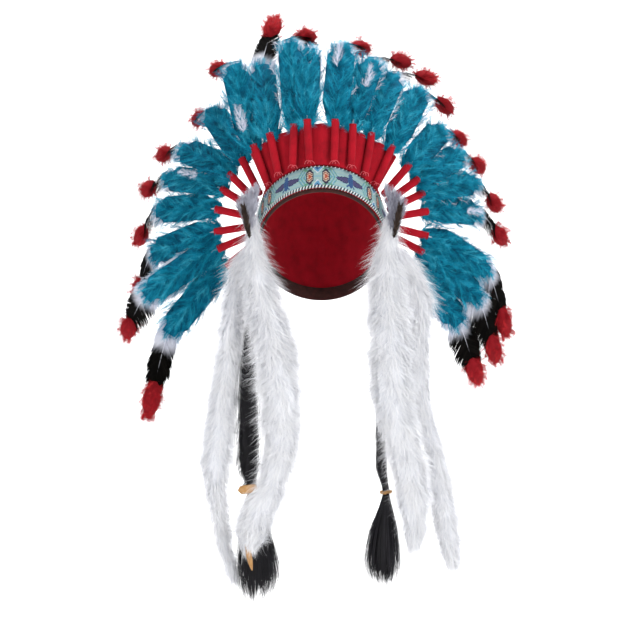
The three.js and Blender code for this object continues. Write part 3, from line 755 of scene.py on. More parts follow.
def addVane(bundle, line, wide):
    random = bundle["random"]
    addDown(bundle, line, under, under["wide"], whiteSlot, under["shade"], under["behind"])
    count = vane["barbs"]
    clumps = np.arange(count) // vane["clump"]
    roots = np.linspace(vane["start"], vane["end"], count)
    t = np.linspace(0, 1, len(vane["taper"]))

    def perClump(low, high):
        return random.uniform(low, high, clumps.max() + 1)[clumps]

    for side in (-1, 1):
        form = 1 - vane["narrow"] * smooth(roots, vane["narrowFrom"], vane["narrowTo"])
        half = wide * form * perClump(0.9, 1.04) * random.uniform(0.92, 1.06, count)
        closed = (vane["angle"] - vane["lastAngle"]) * smooth(roots, 200, 243)
        opening = np.radians(vane["angle"] - closed + perClump(-2, 3))
        closing = np.radians(vane["tipAngle"] + perClump(-4, 4))
        angle = opening[:, None] + (closing - opening)[:, None] * t[None]
        along, across = bendBarbs(roots, angle, half, side)
        depth = -under["behind"] * (1 - smooth(along, *vane["level"]))
        curl = -vane["cup"] * (np.abs(across) / vane["half"]) ** 2 + random.normal(0, 0.25, (count, 1))
        curl = curl + perClump(-1.2, 0.6)[:, None] * t
        barbs = np.stack([along, across, depth + curl], axis=-1)
        way = unit(barbs[:, 1:] - barbs[:, :-1])
        way = np.concatenate([way, way[:, -1:]], axis=1)
        lie = unit(np.stack([-way[..., 1], way[..., 0], way[..., 2] * 0], axis=-1)) * side
        halves = np.broadcast_to(np.array(vane["taper"]), barbs.shape[:2])
        black = smooth(along + perClump(-5, 5)[:, None], *vane["black"])
        # lighter towards each barb's tip: painted light
        tone = np.clip(perClump(0.38, 0.62)[:, None] + random.normal(0, 0.07, (count, 1)) + 0.1 * t, 0, 1)
        addLocalRibbons(bundle, line, barbs, lie, halves, tone, vaneSlot, black)


def addFluff(bundle, line):
    addDown(bundle, line, fluff, fluff["wide"], redSlot, fluff["shade"])
    stations, wide = (np.array(fluffHeart[key]) for key in ("stations", "wide"))
    # a dark heart inside the fluff: its deep red is painted shade
    addLocalTube(bundle, line, stations, wide, fluffHeart["flat"] * wide, 0, 8, 0.15, redSlot)


# A pale wisp of down that has worked loose at the front of a plume
def addWisp(bundle, line, along, across):
    stations = np.array([0.0, 16.0, 36.0])
    local = np.stack([along + stations, across + 0 * stations, wisp["ahead"] + 0.2 * stations], axis=-1)
    width = np.repeat(valuesAt(line, "width", np.array([along])), 3, axis=0)
    path = lineFrom(toSpace(line, local), stations, width)
    addDown(bundle, path, wisp, wisp["wide"], whiteSlot, wisp["shade"])


def addQuill(bundle, line):
    stations = np.array(quill["stations"])
    share = smooth(stations, 60, 240)
    radius = quill["radius"] * (1 - share) + quill["tipRadius"] * share
    depth = -quill["behind"] * smooth(stations, 60, 90) * (1 - smooth(stations, 160, 184))
    ink = np.concatenate([np.repeat(smooth(stations, 190, 215), 6), [0, 1]])
    addLocalTube(bundle, line, stations, radius, radius, depth, 6, 0.6, vaneSlot, ink)


featherLines = {}
for sideName in sides:
    for number in range(1, featherCount + 1):
        line = featherLineOf(sideName, number)
        name = f"feather_{sideName}_{number:02d}"
        featherLines[sideName, number] = line
        bundle = newBundle(1000 * (sideName == "left") + 17 * number)
        addPlume(bundle, line, min(1.0, line["half"][8:11].max() / freeHalf))
        addVane(bundle, line, vane["broad"] if (sideName, number) in broadVanes else vane["half"])
        addFluff(bundle, line)
        if (sideName, number) in wisps:
            addWisp(bundle, line, *wisps[sideName, number])
        addQuill(bundle, line)
        piece = bundleToPiece(bundle, f"plumed_{name}", *featherFinishes)
        fit(piece, f"plumed_{name}", "feather", name)
print("feathers are dressed")


# Felt sleeves round the quills: one is modelled, and each feather gets a copy on its own axis
sleeve = {"length": 54, "foot": 4.3, "mouth": 5.2, "bore": 3.9, "deep": 14, "round": 1.6, "seam": 0.5,
          "pinch": 0.35, "sway": 0.22, "sides": 28, "axis": (28.0, 52.0)}


def modelSleeve():
    deselectAll()
    length = sleeve["length"] * mm
    bpy.ops.mesh.primitive_cone_add(
        vertices=sleeve["sides"], radius1=sleeve["foot"] * mm, radius2=sleeve["mouth"] * mm, depth=length,
        end_fill_type="NGON", location=(0, 0, length / 2),
    )
    piece = bpy.context.object
    bpy.ops.object.transform_apply(location=True, rotation=True, scale=True)
    editOnly(piece, "polygons", "FACE", lambda face: face.normal.z > 0.9)  # the open mouth
    bpy.ops.mesh.inset(thickness=(sleeve["mouth"] - sleeve["bore"]) * mm)
    bpy.ops.mesh.extrude_region_move(TRANSFORM_OT_translate={"value": (0, 0, -sleeve["deep"] * mm)})
    editOnly(piece, "polygons", "FACE", lambda face: face.normal.z < -0.9)  # the rounded foot
    bpy.ops.mesh.bevel(offset=sleeve["round"] * mm, segments=3, affect="EDGES")
    for share in (0.25, 0.5, 0.75):
        cutAll((0, 0, share * length), (0, 0, 1))
    # the felt is rolled: its outer edge stands a little proud along a seam, and it is pinched at the foot
    for vertex in piece.data.vertices:
        x, y, z = vertex.co / mm
        radius = math.hypot(x, y)
        if radius < 0.8 * sleeve["foot"]:
            continue
        turn = math.atan2(y, x) + 0.012 * (z - 27)
        grow = sleeve["seam"] * max(0, math.cos(turn + 0.9)) ** 10
        grow -= sleeve["pinch"] * math.exp(-((z - 8) / 4) ** 2)
        grow += sleeve["sway"] * math.sin(z / 9.0 + 2 * turn)
        vertex.co.x *= 1 + grow / radius
        vertex.co.y *= 1 + grow / radius
    smoothByAngle(piece, 50)
    return piece


def layOnAxis(piece, line):
    foot, mouth = (valuesAt(line, "middle", np.array(station)) for station in sleeve["axis"])
    way = Vector(mouth - foot).normalized()
    width = Vector(valuesAt(line, "width", np.mean(sleeve["axis"])))
    face = way.cross(width).normalized()
    width = face.cross(way).normalized()
    start = Vector(foot) - way * sleeve["axis"][0] * mm
    turned = Matrix((width, face, way)).transposed().to_4x4()
    piece.data.transform(Matrix.Translation(start) @ turned)
    piece.data.update()


plainSleeve = modelSleeve()
for (sideName, number), line in featherLines.items():
    pick(plainSleeve)
    bpy.ops.object.duplicate()
    piece = bpy.context.object
    piece.data.materials.append(dressing["feltRed"])
    layOnAxis(piece, line)
    name = f"quill_wrap_{sideName}_{number:02d}"
    fit(piece, f"felt_{name}", "felt", name)
bpy.data.objects.remove(plainSleeve)
print("felt sleeves are on")


# The head form that the cap, the band and the linings lie on, and the slope of the rim plane over it
head = {"width": 79, "length": 99, "height": 124, "centre": 12, "tilt": math.radians(38)}
rimUp = np.array([0, math.sin(head["tilt"]), math.cos(head["tilt"])])
rimForward = np.array([0, -math.cos(head["tilt"]), math.sin(head["tilt"])])


def onHead(level, turn, outset=0.0):
    sin, cos = math.sin(head["tilt"]), math.cos(head["tilt"])
    width, length, height = (head[key] + outset for key in ("width", "length", "height"))
    square = cos**2 / length**2 + sin**2 / height**2
    rise = level * cos - head["centre"]
    linear = -2 * level * sin * cos / length**2 + 2 * rise * sin / height**2
    constant = (level * sin) ** 2 / length**2 + rise**2 / height**2 - 1
    rest = linear**2 / (4 * square) - constant
    forward = -linear / (2 * square) + np.sqrt(rest / square) * np.cos(turn)
    across = width * np.sqrt(rest) * np.sin(turn)
    level, forward, across = np.broadcast_arrays(level, forward, across)
    place = rimUp * level[..., None] + rimForward * forward[..., None]
    return (place + np.stack([across, 0 * across, 0 * across], axis=-1)) * mm


# The ribbon: woven stitches from a given chart, whipped along both edges. Sizes and repeats in millimetres
ribbon = {
    "low": -0.5, "high": 28.5, "outset": 3.9, "wall": 1.6, "thread": 0.3, "stitch": 1.05,
    "halfTurn": math.radians(93.4), "repeat": 84, "shift": 5,
}
figures = {
    "birdColumn": 0.98, "birdRow": 1.02, "birdTop": 9.5, "wedge": (8.5, 10.5), "rosette": 10,
    "rosetteSize": (5.2, 12.3), "leaf": 12, "leafSize": (7, 4.4), "chevrons": (16, 27),
}
threads = {
    ".": (158, 190, 187), ":": (138, 180, 192), "g": (98, 156, 130), "b": (44, 84, 136), "n": (34, 44, 86),
    "m": (92, 84, 128), "o": (184, 88, 62), "c": (216, 200, 178), "k": (50, 38, 44), "l": (96, 160, 196),
    "w": (220, 224, 226),
}
# Half of the bird, from its middle out to the wing tip, top row first
birdChart = [
    "bb..................",
    "bbb.................",
    "bbb.................",
    "bb..................",
    "bbb.................",
    "bbbbnnnnn...........",
    "bbbbnmnmnnnnnn......",
    "bbbbmnmnmnmnmnnnnn..",
    "bnbbnmnmnmnmnmnmnmn.",
    "bbbbmnmnmnmnmnmnmnmn",
    "bnbbnmnmnmnmnmnmnmn.",
    "bbbbmnmnmnmnmnmnnn..",
    "bbb.nnmnmnmnnnn.....",
    "bbb..nnnnnn.........",
    "bbbb................",
    "bbbbb...............",
    "bb.bbb..............",
    "b...bb..............",
]


def threadAt(fromDiamond, level):
    repeat = ribbon["repeat"]
    across = abs((fromDiamond + repeat / 2) % repeat - repeat / 2)
    up = level - (ribbon["low"] + ribbon["high"]) / 2
    edge = (ribbon["high"] - ribbon["low"]) / 2 - abs(up)
    column = int(abs(across - repeat / 2) / figures["birdColumn"])
    row = int((figures["birdTop"] - up) / figures["birdRow"])
    if 0 <= row < len(birdChart) and column < len(birdChart[0]) and birdChart[row][column] != ".":
        return birdChart[row][column]
    wedge = across / figures["wedge"][0] + edge / figures["wedge"][1]
    if edge > 1.2 and wedge < 1:  # triangles that come in from both edges at the diamond
        return "w" if wedge > 0.86 else ("l" if wedge > 0.5 else "b")
    aside = abs(across - figures["rosette"])
    wide, tall = figures["rosetteSize"]
    rosette = max(aside / wide, abs(up) / tall + aside / (2 * wide))
    odd = (int(abs(up)) + int(aside)) % 2
    for limit, pair in ((0.28, "oo"), (0.5, "oc"), (0.72, "ck"), (0.95, "nk")):  # rings from the middle out
        if rosette < limit:
            return pair[odd]
    leaf = abs(across - figures["leaf"]) / figures["leafSize"][0] + abs(edge - 3.2) / figures["leafSize"][1]
    if leaf < 1:
        return "g" if leaf > 0.35 else ":"
    slant = across + 0.6 * abs(up)
    if figures["chevrons"][0] < slant < figures["chevrons"][1] and abs(up) < 11 and int(slant) % 4 < 2:
        return "g" if int(slant) % 4 else "l"
    return ":" if (int(up) % 5 == 0 or edge < 2.4) else "."


def buildRibbon():
    turns = np.linspace(-ribbon["halfTurn"], ribbon["halfTurn"], 1500)
    path = onHead(14.0, turns, ribbon["outset"])
    arc = np.concatenate([[0], np.cumsum(np.linalg.norm(np.diff(path, axis=0), axis=1))]) / mm
    arc -= arc[-1] / 2
    columns = int(round((arc[-1] - arc[0]) / ribbon["stitch"]))
    rows = int(round((ribbon["high"] - ribbon["low"]) / ribbon["stitch"]))
    deselectAll()
    bpy.ops.mesh.primitive_grid_add(x_subdivisions=columns, y_subdivisions=rows, size=1)
    piece = bpy.context.object
    mesh = piece.data
    corner = vertexPlaces(mesh)
    u = (corner[:, 0] + 0.5) * (arc[-1] - arc[0]) + arc[0]
    level = ribbon["low"] + (corner[:, 1] + 0.5) * (ribbon["high"] - ribbon["low"])
    turn = np.interp(u, arc, turns)
    crown = 0.35 * (1 - ((corner[:, 1]) / 0.5) ** 6)  # the ribbon swells a little between its sewn edges
    mesh.vertices.foreach_set("co", onHead(level, turn, ribbon["outset"] - ribbon["thread"] + crown).ravel())
    mesh.update()
    colours = mesh.attributes.new("thread", "FLOAT_COLOR", "CORNER")
    weave = mesh.uv_layers.new(name="weave")
    for face in mesh.polygons:
        middle = np.mean([(u[i], level[i]) for i in face.vertices], axis=0)
        colour = fromScreen(*threads[threadAt(abs(middle[0] + ribbon["shift"]), middle[1])])
        for corner in face.loop_indices:
            vertex = mesh.loops[corner].vertex_index
            colours.data[corner].color = colour
            weave.data[corner].uv = (u[vertex] / ribbon["stitch"], level[vertex] / ribbon["stitch"])
    mesh.materials.append(dressing["ribbonWoven"])
    applyModifier(piece, "SOLIDIFY", thickness=(ribbon["wall"] - ribbon["thread"]) * mm, offset=-1)
    fit(piece, "woven_ribbon", "ribbon", "brow_band")
    return arc, turns


# Whipping: short slanted stitches over an edge of the ribbon, every second one dark
whipping = {
    "upper": {"level": 28.0, "pitch": 2.5, "radius": 0.5, "height": 2.4, "slant": 1.6},
    "lower": {"level": 0.4, "pitch": 2.0, "radius": 0.75, "height": 3.4, "slant": 2.0},
}


def buildWhipping(arc, turns):
    bundle = newBundle(5)
    random = bundle["random"]
    for name, row in whipping.items():
        stitches = np.arange(arc[0] + 1, arc[-1] - 1, row["pitch"])
        t = np.linspace(-1, 1, 6)
        for k, middle in enumerate(stitches):
            u = middle + row["slant"] * 0.5 * t + random.normal(0, 0.08)
            level = row["level"] + row["height"] * 0.5 * t
            lift = ribbon["outset"] + 0.1 + 0.55 * (1 - t**2)
            if name == "lower":
                lift = ribbon["outset"] + 0.3 - 1.6 * np.clip(-t, 0, 1) ** 2 + 0.3 * (1 - t**2)
            turn = np.interp(u, arc, turns)
            path = np.stack([onHead(np.array(l), np.array(a), h) for l, a, h in zip(level, turn, lift)])
            ahead = unit(np.gradient(path, axis=0))
            outward = unit(path - [0, 0, head["centre"] * mm])
            across = unit(np.cross(ahead, outward))
            radius = row["radius"] * mm * np.sqrt(np.clip(1.05 - t**2, 0.05, 1))
            rings = tubeRings(path, across, 0.8 * outward, radius, 5)
            addLoft(bundle, rings, 0.5, k % 2)
    piece = bundleToPiece(bundle, "ribbon_whipping", "threadWhite", "threadDark")
    fit(piece, "ribbon_whipping", "ribbon")


arc, turns = buildRibbon()
buildWhipping(arc, turns)
print("ribbon is woven")


# The felt cap: gores sewn together over the crown
cap = {"wall": 2.0, "felt": 1.8, "gores": 6, "groove": 0.7, "grooveWidth": 2.2, "puff": 0.35, "puffAt": 3.6}
sweatband = {"low": -4, "high": 14, "outset": -0.3, "wall": 1.2, "round": 0.4}


def headBall(outset, segments, rings):
    deselectAll()
    centre = (0, 0, head["centre"] * mm)
    bpy.ops.mesh.primitive_uv_sphere_add(segments=segments, ring_count=rings, radius=1, location=centre)
    piece = bpy.context.object
    piece.scale = [(head[key] + outset) * mm for key in ("width", "length", "height")]
    bpy.ops.object.transform_apply(location=True, rotation=True, scale=True)
    return piece


def buildCap():
    piece = headBall(cap["wall"], 144, 72)
    cutAll((0, 0, 0), rimUp, clear_inner=True, threshold=1e-6)
    for vertex in piece.data.vertices:  # a groove along each gore seam
        turn = math.atan2(vertex.co.x, -vertex.co.y)
        radius = math.hypot(vertex.co.x, vertex.co.y) / mm
        step = 2 * math.pi / cap["gores"]
        apart = abs((turn + step / 2) % step - step / 2) * radius
        depth = cap["groove"] * math.exp(-((apart / cap["grooveWidth"]) ** 2)) * min(1, radius / 6)
        puff = cap["puff"] * math.exp(-(((apart - cap["puffAt"]) / 2) ** 2)) * min(1, radius / 12)
        outward = Vector(vertex.co - Vector((0, 0, head["centre"] * mm))).normalized()
        vertex.co += outward * (puff - depth) * mm
    applyModifier(piece, "SOLIDIFY", thickness=cap["felt"] * mm, offset=-1)
    smoothByAngle(piece, 40)
    piece.data.materials.append(dressing["feltRed"])
    fit(piece, "felt_cap", "felt", "skull_cap")


def buildSweatband():
    piece = headBall(sweatband["outset"], 128, 64)
    cutAll(rimUp * sweatband["low"] * mm, rimUp, clear_inner=True, threshold=1e-6)
    cutAll(rimUp * sweatband["high"] * mm, rimUp, clear_outer=True, threshold=1e-6)
    applyModifier(piece, "SOLIDIFY", thickness=sweatband["wall"] * mm, offset=-1)
    applyModifier(piece, "BEVEL", width=sweatband["round"] * mm, segments=2, limit_method="ANGLE")
    smoothByAngle(piece, 40)
    piece.data.materials.append(dressing["liningBrown"])
    fit(piece, "inner_sweatband", "lining", "sweatband")


buildCap()
buildSweatband()
print("cap and sweatband are sewn")


# The standing panel: one strip of felt, pleated between the sleeves
panel = {"columns": 260, "rows": 14, "wall": 2.2, "ripple": 0.5, "rounding": 6}


def buildPanel():
    low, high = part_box("crown_panel")
    rings = loftRings("crown_panel", np.array([high.x, -0.035, 0.09]), 4)
    if rings[0][:, 0].mean() > rings[-1][:, 0].mean():
        rings = rings[::-1]
    feet, tops = [], []
    for ring in rings:  # the four corners of a column: two at the foot, two at the top edge
        order = np.argsort(ring[:, 2])
        feet.append(ring[order[:2]].mean(axis=0))
        tops.append(ring[order[2:]].mean(axis=0))
    feet, tops = np.array(feet), np.array(tops)
    share = np.linspace(0, len(feet) - 1, panel["columns"] + 1)
    even = np.arange(len(feet))
    feet = np.stack([np.interp(share, even, feet[:, i]) for i in range(3)], axis=-1)
    tops = np.stack([np.interp(share, even, tops[:, i]) for i in range(3)], axis=-1)
    reach = panel["rounding"]
    kernel = np.exp(-(np.arange(-reach, reach + 1) / 3.5) ** 2)
    kernel /= kernel.sum()
    for rows in (feet, tops):  # round the CAD model's straight runs
        for i in range(3):
            padded = np.pad(rows[:, i], reach, mode="reflect", reflect_type="odd")
            rows[:, i] = np.convolve(padded, kernel, "valid")
    deselectAll()
    bpy.ops.mesh.primitive_grid_add(x_subdivisions=panel["columns"], y_subdivisions=panel["rows"], size=1)
    piece = bpy.context.object
    mesh = piece.data
    corner = vertexPlaces(mesh)
    column = np.round((corner[:, 0] + 0.5) * panel["columns"]).astype(int)
    up = corner[:, 1] + 0.5
    along = unit(np.gradient(feet, axis=0))
    rise = unit(tops - feet)
    ahead = unit(np.cross(along, rise))
    ripple = panel["ripple"] * (np.sin(column / 5.3) + 0.6 * np.sin(column / 2.3 + 1)) * up**1.5
    edge = 1 + 0.010 * np.sin(column / 9.0) + 0.006 * np.sin(column / 3.1 + 2)
    place = feet[column] + (tops - feet)[column] * (up * edge)[:, None]
    place = place + ahead[column] * (ripple * mm)[:, None]
    mesh.vertices.foreach_set("co", place.ravel())
    mesh.update()
    applyModifier(piece, "SOLIDIFY", thickness=panel["wall"] * mm, offset=0)
    limit = math.radians(60)
    applyModifier(piece, "BEVEL", width=0.5 * mm, segments=2, limit_method="ANGLE", angle_limit=limit)
    smoothByAngle(piece, 45)
    mesh.materials.append(dressing["feltRed"])
    fit(piece, "pleated_panel", "felt", "crown_panel")


# Loops of sewing thread that hold the foot of each front sleeve
loops = {"sleeves": 7, "width": 3.9, "height": 4.4, "radius": 0.38, "count": 2, "apart": 4.2}


def buildLoops():
    bundle = newBundle(11)
    random = bundle["random"]
    for (sideName, number), line in featherLines.items():
        if number > loops["sleeves"]:
            continue
        for k in range(loops["count"]):
            t = np.linspace(0, math.pi, 11)
            shift = (k - 0.5) * loops["apart"] + random.normal(0, 0.5)
            across = shift + loops["width"] * np.cos(t) * random.uniform(0.8, 1.1)
            along = -1.0 + loops["height"] * np.sin(t) * random.uniform(0.75, 1.1)
            face = 0.5 + np.sqrt(np.clip(30 - across**2, 1, 30)) + random.uniform(0, 0.4)
            local = np.stack([along, across, face], axis=-1)
            path = toSpace(line, local)
            ahead = unit(np.gradient(path, axis=0))
            outward = valuesAt(line, "face", along)
            other = unit(np.cross(ahead, outward))
            rings = tubeRings(path, other, outward, loops["radius"] * mm, 6)
            addLoft(bundle, rings, 0.5)
    piece = bundleToPiece(bundle, "thread_loops", "threadPink")
    fit(piece, "thread_loops", "felt")


buildPanel()
buildLoops()
print("panel is pleated and sewn")


# Hanging pieces: middles and half sizes at each height, read from the CAD rings
def hangingLine(name):
    low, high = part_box(name)
    rings = loftRings(name, np.array([(low.x + high.x) / 2, (low.y + high.y) / 2, high.z]), 8)
    middles = np.array([ring.mean(axis=0) for ring in rings])
    size = np.array([np.ptp(ring, axis=0)[:2] / 2 for ring in rings])
    return middles[:, 2] / mm, middles / mm, size / mm


def hangingAt(line, height):
    heights, middles, size = line
    order = np.argsort(heights)
    columns = (middles[:, 0], middles[:, 1], size[:, 0], size[:, 1])
    return [np.interp(height, heights[order], column[order]) for column in columns]


def hangingPlace(line, height, turn, share):
    height, turn, share = np.broadcast_arrays(height, turn, share)
    x, y, wide, thick = hangingAt(line, height)
    return np.stack([x + share * wide * np.sin(turn), y - share * thick * np.cos(turn), height], axis=-1) * mm


# Hairs lie flat on the hanging piece, more or less tilted
def hairWidths(random, place, turn, tilt=0.0):
    outward = np.stack([np.sin(turn), -np.cos(turn), 0 * turn], axis=-1)
    widths = np.cross(unit(np.gradient(place, axis=1)), outward)
    if tilt:
        widths = widths + random.normal(0, tilt, (len(place), 1, 3))
    return unit(widths)


# White fur: fine hairs that leave the middle outwards and turn down, loosely gathered in small locks
fur = {
    "hairs": 26000, "fullWidth": 30, "half": 0.23, "drop": (8, 30), "beyond": 4.0, "lockOf": 10,
    "lockRoom": (6.0, 5.0), "loose": 0.38, "looseHalf": 0.15, "looseDrop": (6, 18), "looseBeyond": 19.0,
    "core": 0.58,
    "fullness": 9.0, "fullFrom": (-200, -60), "fullTo": (-20, 20), "swing": 0.16, "stray": 0.8, "tilt": 0.3,
}
furTails = {  # neck is how far the fur goes on above the CAD piece, extra how much further its hairs reach
    "right_inner": {"seed": 40, "neck": 22, "extra": 2.0},
    "right_outer": {"seed": 41, "neck": 0, "extra": 5.0},
    "left_inner": {"seed": 42, "neck": 20, "extra": 0.0},
    "left_outer": {"seed": 43, "neck": 0, "extra": 0.0},
}


def buildFurTail(name, facts):
    line = hangingLine(f"fur_tail_{name}")
    bundle = newBundle(facts["seed"])
    random = bundle["random"]
    top, bottom = line[0].max() + facts["neck"], line[0].min()
    heights = np.linspace(bottom, top, 200)
    weight = hangingAt(line, heights)[2] + 5
    chance = np.cumsum(weight) / weight.sum()
    number = int(fur["hairs"] * weight.mean() / fur["fullWidth"])
    # locks first, then the hairs round them
    lockCount = number // fur["lockOf"]
    lockHeight = np.interp(random.uniform(0, 1, lockCount), chance, heights)
    lockTurn = random.uniform(-math.pi, math.pi, lockCount)
    lock = random.integers(0, lockCount, number)
    wideAt = hangingAt(line, lockHeight[lock])[2] + 3
    aside, above = fur["lockRoom"]
    height = np.clip(lockHeight[lock] + random.normal(0, above, number), bottom + 4, top + 1)
    turn = lockTurn[lock] + random.normal(0, aside, number) / wideAt
    loose = random.uniform(0, 1, number) < fur["loose"]
    drop = random.uniform(*fur["drop"], lockCount)[lock] * random.uniform(0.6, 1.15, number)
    drop = np.where(loose, random.uniform(*fur["looseDrop"], number), drop)
    drop = np.minimum(drop, height - bottom + random.uniform(4, 20, number))
    reach = random.uniform(0.8, 1.02, lockCount)[lock] * random.uniform(0.8, 1.05, number)
    beyond = random.uniform(0, 1, number) ** 1.5 * np.where(loose, fur["looseBeyond"], fur["beyond"])
    full = fur["fullness"] * smooth(height, *fur["fullFrom"]) * (1 - smooth(height, *fur["fullTo"]))
    beyond += full * random.uniform(0, 1, number)
    beyond += facts["extra"] * random.uniform(0, 1, number)
    reach = reach + beyond / (hangingAt(line, np.maximum(height - drop, bottom))[2] + 2)
    t = np.array([0.0, 0.5, 1.0])
    fall = height[:, None] - drop[:, None] * (t**1.35)[None]
    start = random.uniform(0.25, fur["core"], number)
    share = start[:, None] + (reach - start)[:, None] * (1 - (1 - t) ** 1.35)[None]
    lockTip = lockTurn[lock] + random.normal(0, 0.3, lockCount)[lock]
    swing = (lockTip - turn)[:, None] * 0.4 + random.normal(0, fur["swing"], (number, 1))
    swing = turn[:, None] + swing * (t**1.5)[None]
    place = hangingPlace(line, fall, swing, share)
    bow = np.sin(t * math.pi * 1.3)[None, :, None] * mm
    place = place + random.normal(0, fur["stray"], (number, 1, 3)) * bow
    across = hairWidths(random, place, swing, fur["tilt"])
    halves = np.where(loose, fur["looseHalf"], fur["half"])[:, None] * mm * np.array([1.0, 0.9, 0.0])
    # hairs grow lighter from root to tip and darker along the outline where the sides turn away: painted
    # light and painted shade
    tone = random.uniform(0.42, 0.74, lockCount)[lock][:, None] * 0.6 + 0.45 * t[None]
    tone = tone - 0.14 * np.abs(np.sin(swing)) * smooth(share, 0.6, 1.1)  # a little deeper along the outline
    tone = np.clip(tone + random.normal(0, 0.12, (number, 1)), 0, 1)
    addRibbons(bundle, place, across, halves * random.uniform(0.6, 1.5, (number, 1)), tone)
    # the pelt inside
    levels = np.linspace(top - 1, bottom + 16, 40)[:, None]
    turns = np.linspace(0, 2 * math.pi, 14, endpoint=False)
    bumps = fur["core"] * (1 + 0.10 * np.sin(levels / 6.5) + 0.06 * np.cos(3 * turns + levels / 11))
    bumps = bumps * np.minimum(1, 0.3 + (levels - levels[-1]) / 20)
    bumps = bumps * np.minimum(1, 0.3 + (levels[0] - levels) / 14)
    addLoft(bundle, hangingPlace(line, levels, turns, bumps)[:, ::-1], 0.4)
    piece = bundleToPiece(bundle, f"long_fur_{name}", "furWhite")
    fit(piece, f"long_fur_{name}", "fur", f"fur_tail_{name}")


for name, facts in furTails.items():
    buildFurTail(name, facts)
print("fur tails are combed")


# Black hair: a fuzzy strand down to the tie, and a spreading tassel under it
tassel = {"strandHairs": 900, "bellHairs": 1700, "bellLocks": 46, "half": 0.3, "fullUpTo": (-160, -110)}
tassels = {
    "right": {"seed": 60, "knot": -297.0, "spread": 1.25, "fullness": 1.75,
              "fuzz": {"hairs": 4200, "from": -95, "beyond": 13.0}},
    "left": {"seed": 61, "knot": -301.0, "spread": 1.0, "fullness": 1.0,
             "fuzz": {"hairs": 900, "from": -180, "beyond": 3.0}},
}


def buildTassel(sideName):
    line = hangingLine(f"black_tassel_{sideName}")
    facts = tassels[sideName]
    bundle = newBundle(facts["seed"])
    random, half, knot = bundle["random"], tassel["half"] * mm, facts["knot"]
    top, bottom = line[0].max(), line[0].min()

    def fullAt(height):
        inStrand = (1 - smooth(height, *tassel["fullUpTo"])) * smooth(height, knot, knot + 30)
        return 1 + (facts["fullness"] - 1) * inStrand

    # hairs of the strand, each a stretch of the way down
    number = tassel["strandHairs"]
    t = np.linspace(0, 1, 7)
    start = random.uniform(knot + 10, top - 2, number)
    length = np.minimum(random.uniform(45, 110, number), start - knot)
    height = start[:, None] - length[:, None] * t[None]
    turn = random.uniform(-math.pi, math.pi, (number, 1)) + 0.5 * t[None] * random.normal(0, 1, (number, 1))
    share = random.uniform(0.35, 0.95, (number, 1))
    share = share + 0.25 * np.sin(t * 3)[None] * random.normal(0, 1, (number, 1))
    place = hangingPlace(line, height, turn, share * fullAt(height))
    across = hairWidths(random, place, turn)
    halves = half * np.array([0.8, 1, 1, 1, 1, 0.7, 0.0]) * np.ones((number, 1))
    # lighter towards each tip: painted light
    tone = np.clip(random.uniform(0.1, 0.7, (number, 1)) + 0.2 * t[None], 0, 1)
    addRibbons(bundle, place, across, halves, tone)
    # short fuzz that stands off the strand
    fuzz = facts["fuzz"]
    number = fuzz["hairs"]
    t = np.linspace(0, 1, 4)
    start = random.uniform(knot + 6, fuzz["from"], number)
    height = start[:, None] - random.uniform(6, 20, number)[:, None] * t[None]
    turn = random.uniform(-math.pi, math.pi, (number, 1))
    low = smooth(-start, -fuzz["from"], 260)
    beyond = random.uniform(0, 1, number) ** 1.3 * fuzz["beyond"] * (0.35 + 0.65 * low)
    end = 0.8 + beyond / hangingAt(line, start)[2]
    share = 0.5 + (end - 0.5)[:, None] * (t**0.8)[None]
    place = hangingPlace(line, height, turn, share)
    across = hairWidths(random, place, turn, 0.4)
    halves = half * np.array([1, 0.9, 0.6, 0.0]) * np.ones((number, 1))
    addRibbons(bundle, place, across, halves, random.uniform(0.2, 0.8, (number, 1)) + 0 * t[None])
    # the tassel
    number = tassel["bellHairs"]
    t = np.linspace(0, 1, 8)
    lockCount = tassel["bellLocks"]
    lock = random.integers(0, lockCount, number)
    ends = random.uniform(bottom - 5, bottom + 26, lockCount)[lock] + random.normal(0, 4, number)
    height = knot + (ends - knot)[:, None] * t[None]
    lockTurn = random.uniform(-math.pi, math.pi, lockCount)
    turn = lockTurn[lock][:, None] + random.normal(0, 0.3, (number, 1)) * (1 - 0.4 * t[None])
    spread = 0.8 + 0.4 * random.uniform(0, 1, (lockCount, 1))[lock] * t[None]
    spread = spread * (1 + (facts["spread"] - 1) * t[None])
    share = np.sqrt(random.uniform(0.05, 1.0, (number, 1))) * spread
    place = hangingPlace(line, height, turn, share)
    across = hairWidths(random, place, turn, 0.2)
    halves = half * np.array([1, 1, 1, 1, 0.9, 0.8, 0.5, 0.0]) * random.uniform(0.7, 1.3, (number, 1))
    # lighter towards each tip: painted light
    tone = random.uniform(0.1, 0.75, (lockCount, 1))[lock] + 0.15 * t[None]
    tone = tone + random.normal(0, 0.1, (number, 1))
    addRibbons(bundle, place, across, halves, np.clip(tone, 0, 1))
    # the core inside
    levels = np.linspace(top - 1, bottom + 30, 40)[:, None]
    turns = np.linspace(0, 2 * math.pi, 10, endpoint=False)
    core = (0.6 + 0.08 * np.sin(levels / 5 + 2 * turns)) * fullAt(levels)
    addLoft(bundle, hangingPlace(line, levels, turns, core)[:, ::-1], 0.1)
    piece = bundleToPiece(bundle, f"hair_tassel_{sideName}", "hairBlack")
    fit(piece, f"hair_tassel_{sideName}", "black_hair", f"black_tassel_{sideName}")


# The leather ties round the necks: flat turns of thong, and loose ends as paths of (x, y, z) in millimetres
thong = {"thick": 0.9, "endThick": 0.8, "sides": 8}
ties = {
    "right": {"turns": 2, "half": 2.7, "ends": [
        {"path": [(-101, -84, -296), (-96, -87, -295), (-90, -89, -294), (-83, -89, -293), (-77, -87, -292)],
         "half": 5.2},
        {"path": [(-90, -72, -300), (-92, -76, -338), (-91, -85, -356), (-88, -91, -373), (-84, -87, -392)],
         "half": 3.4},
    ]},
    "left": {"turns": 3, "half": 0.75, "ends": []},
}


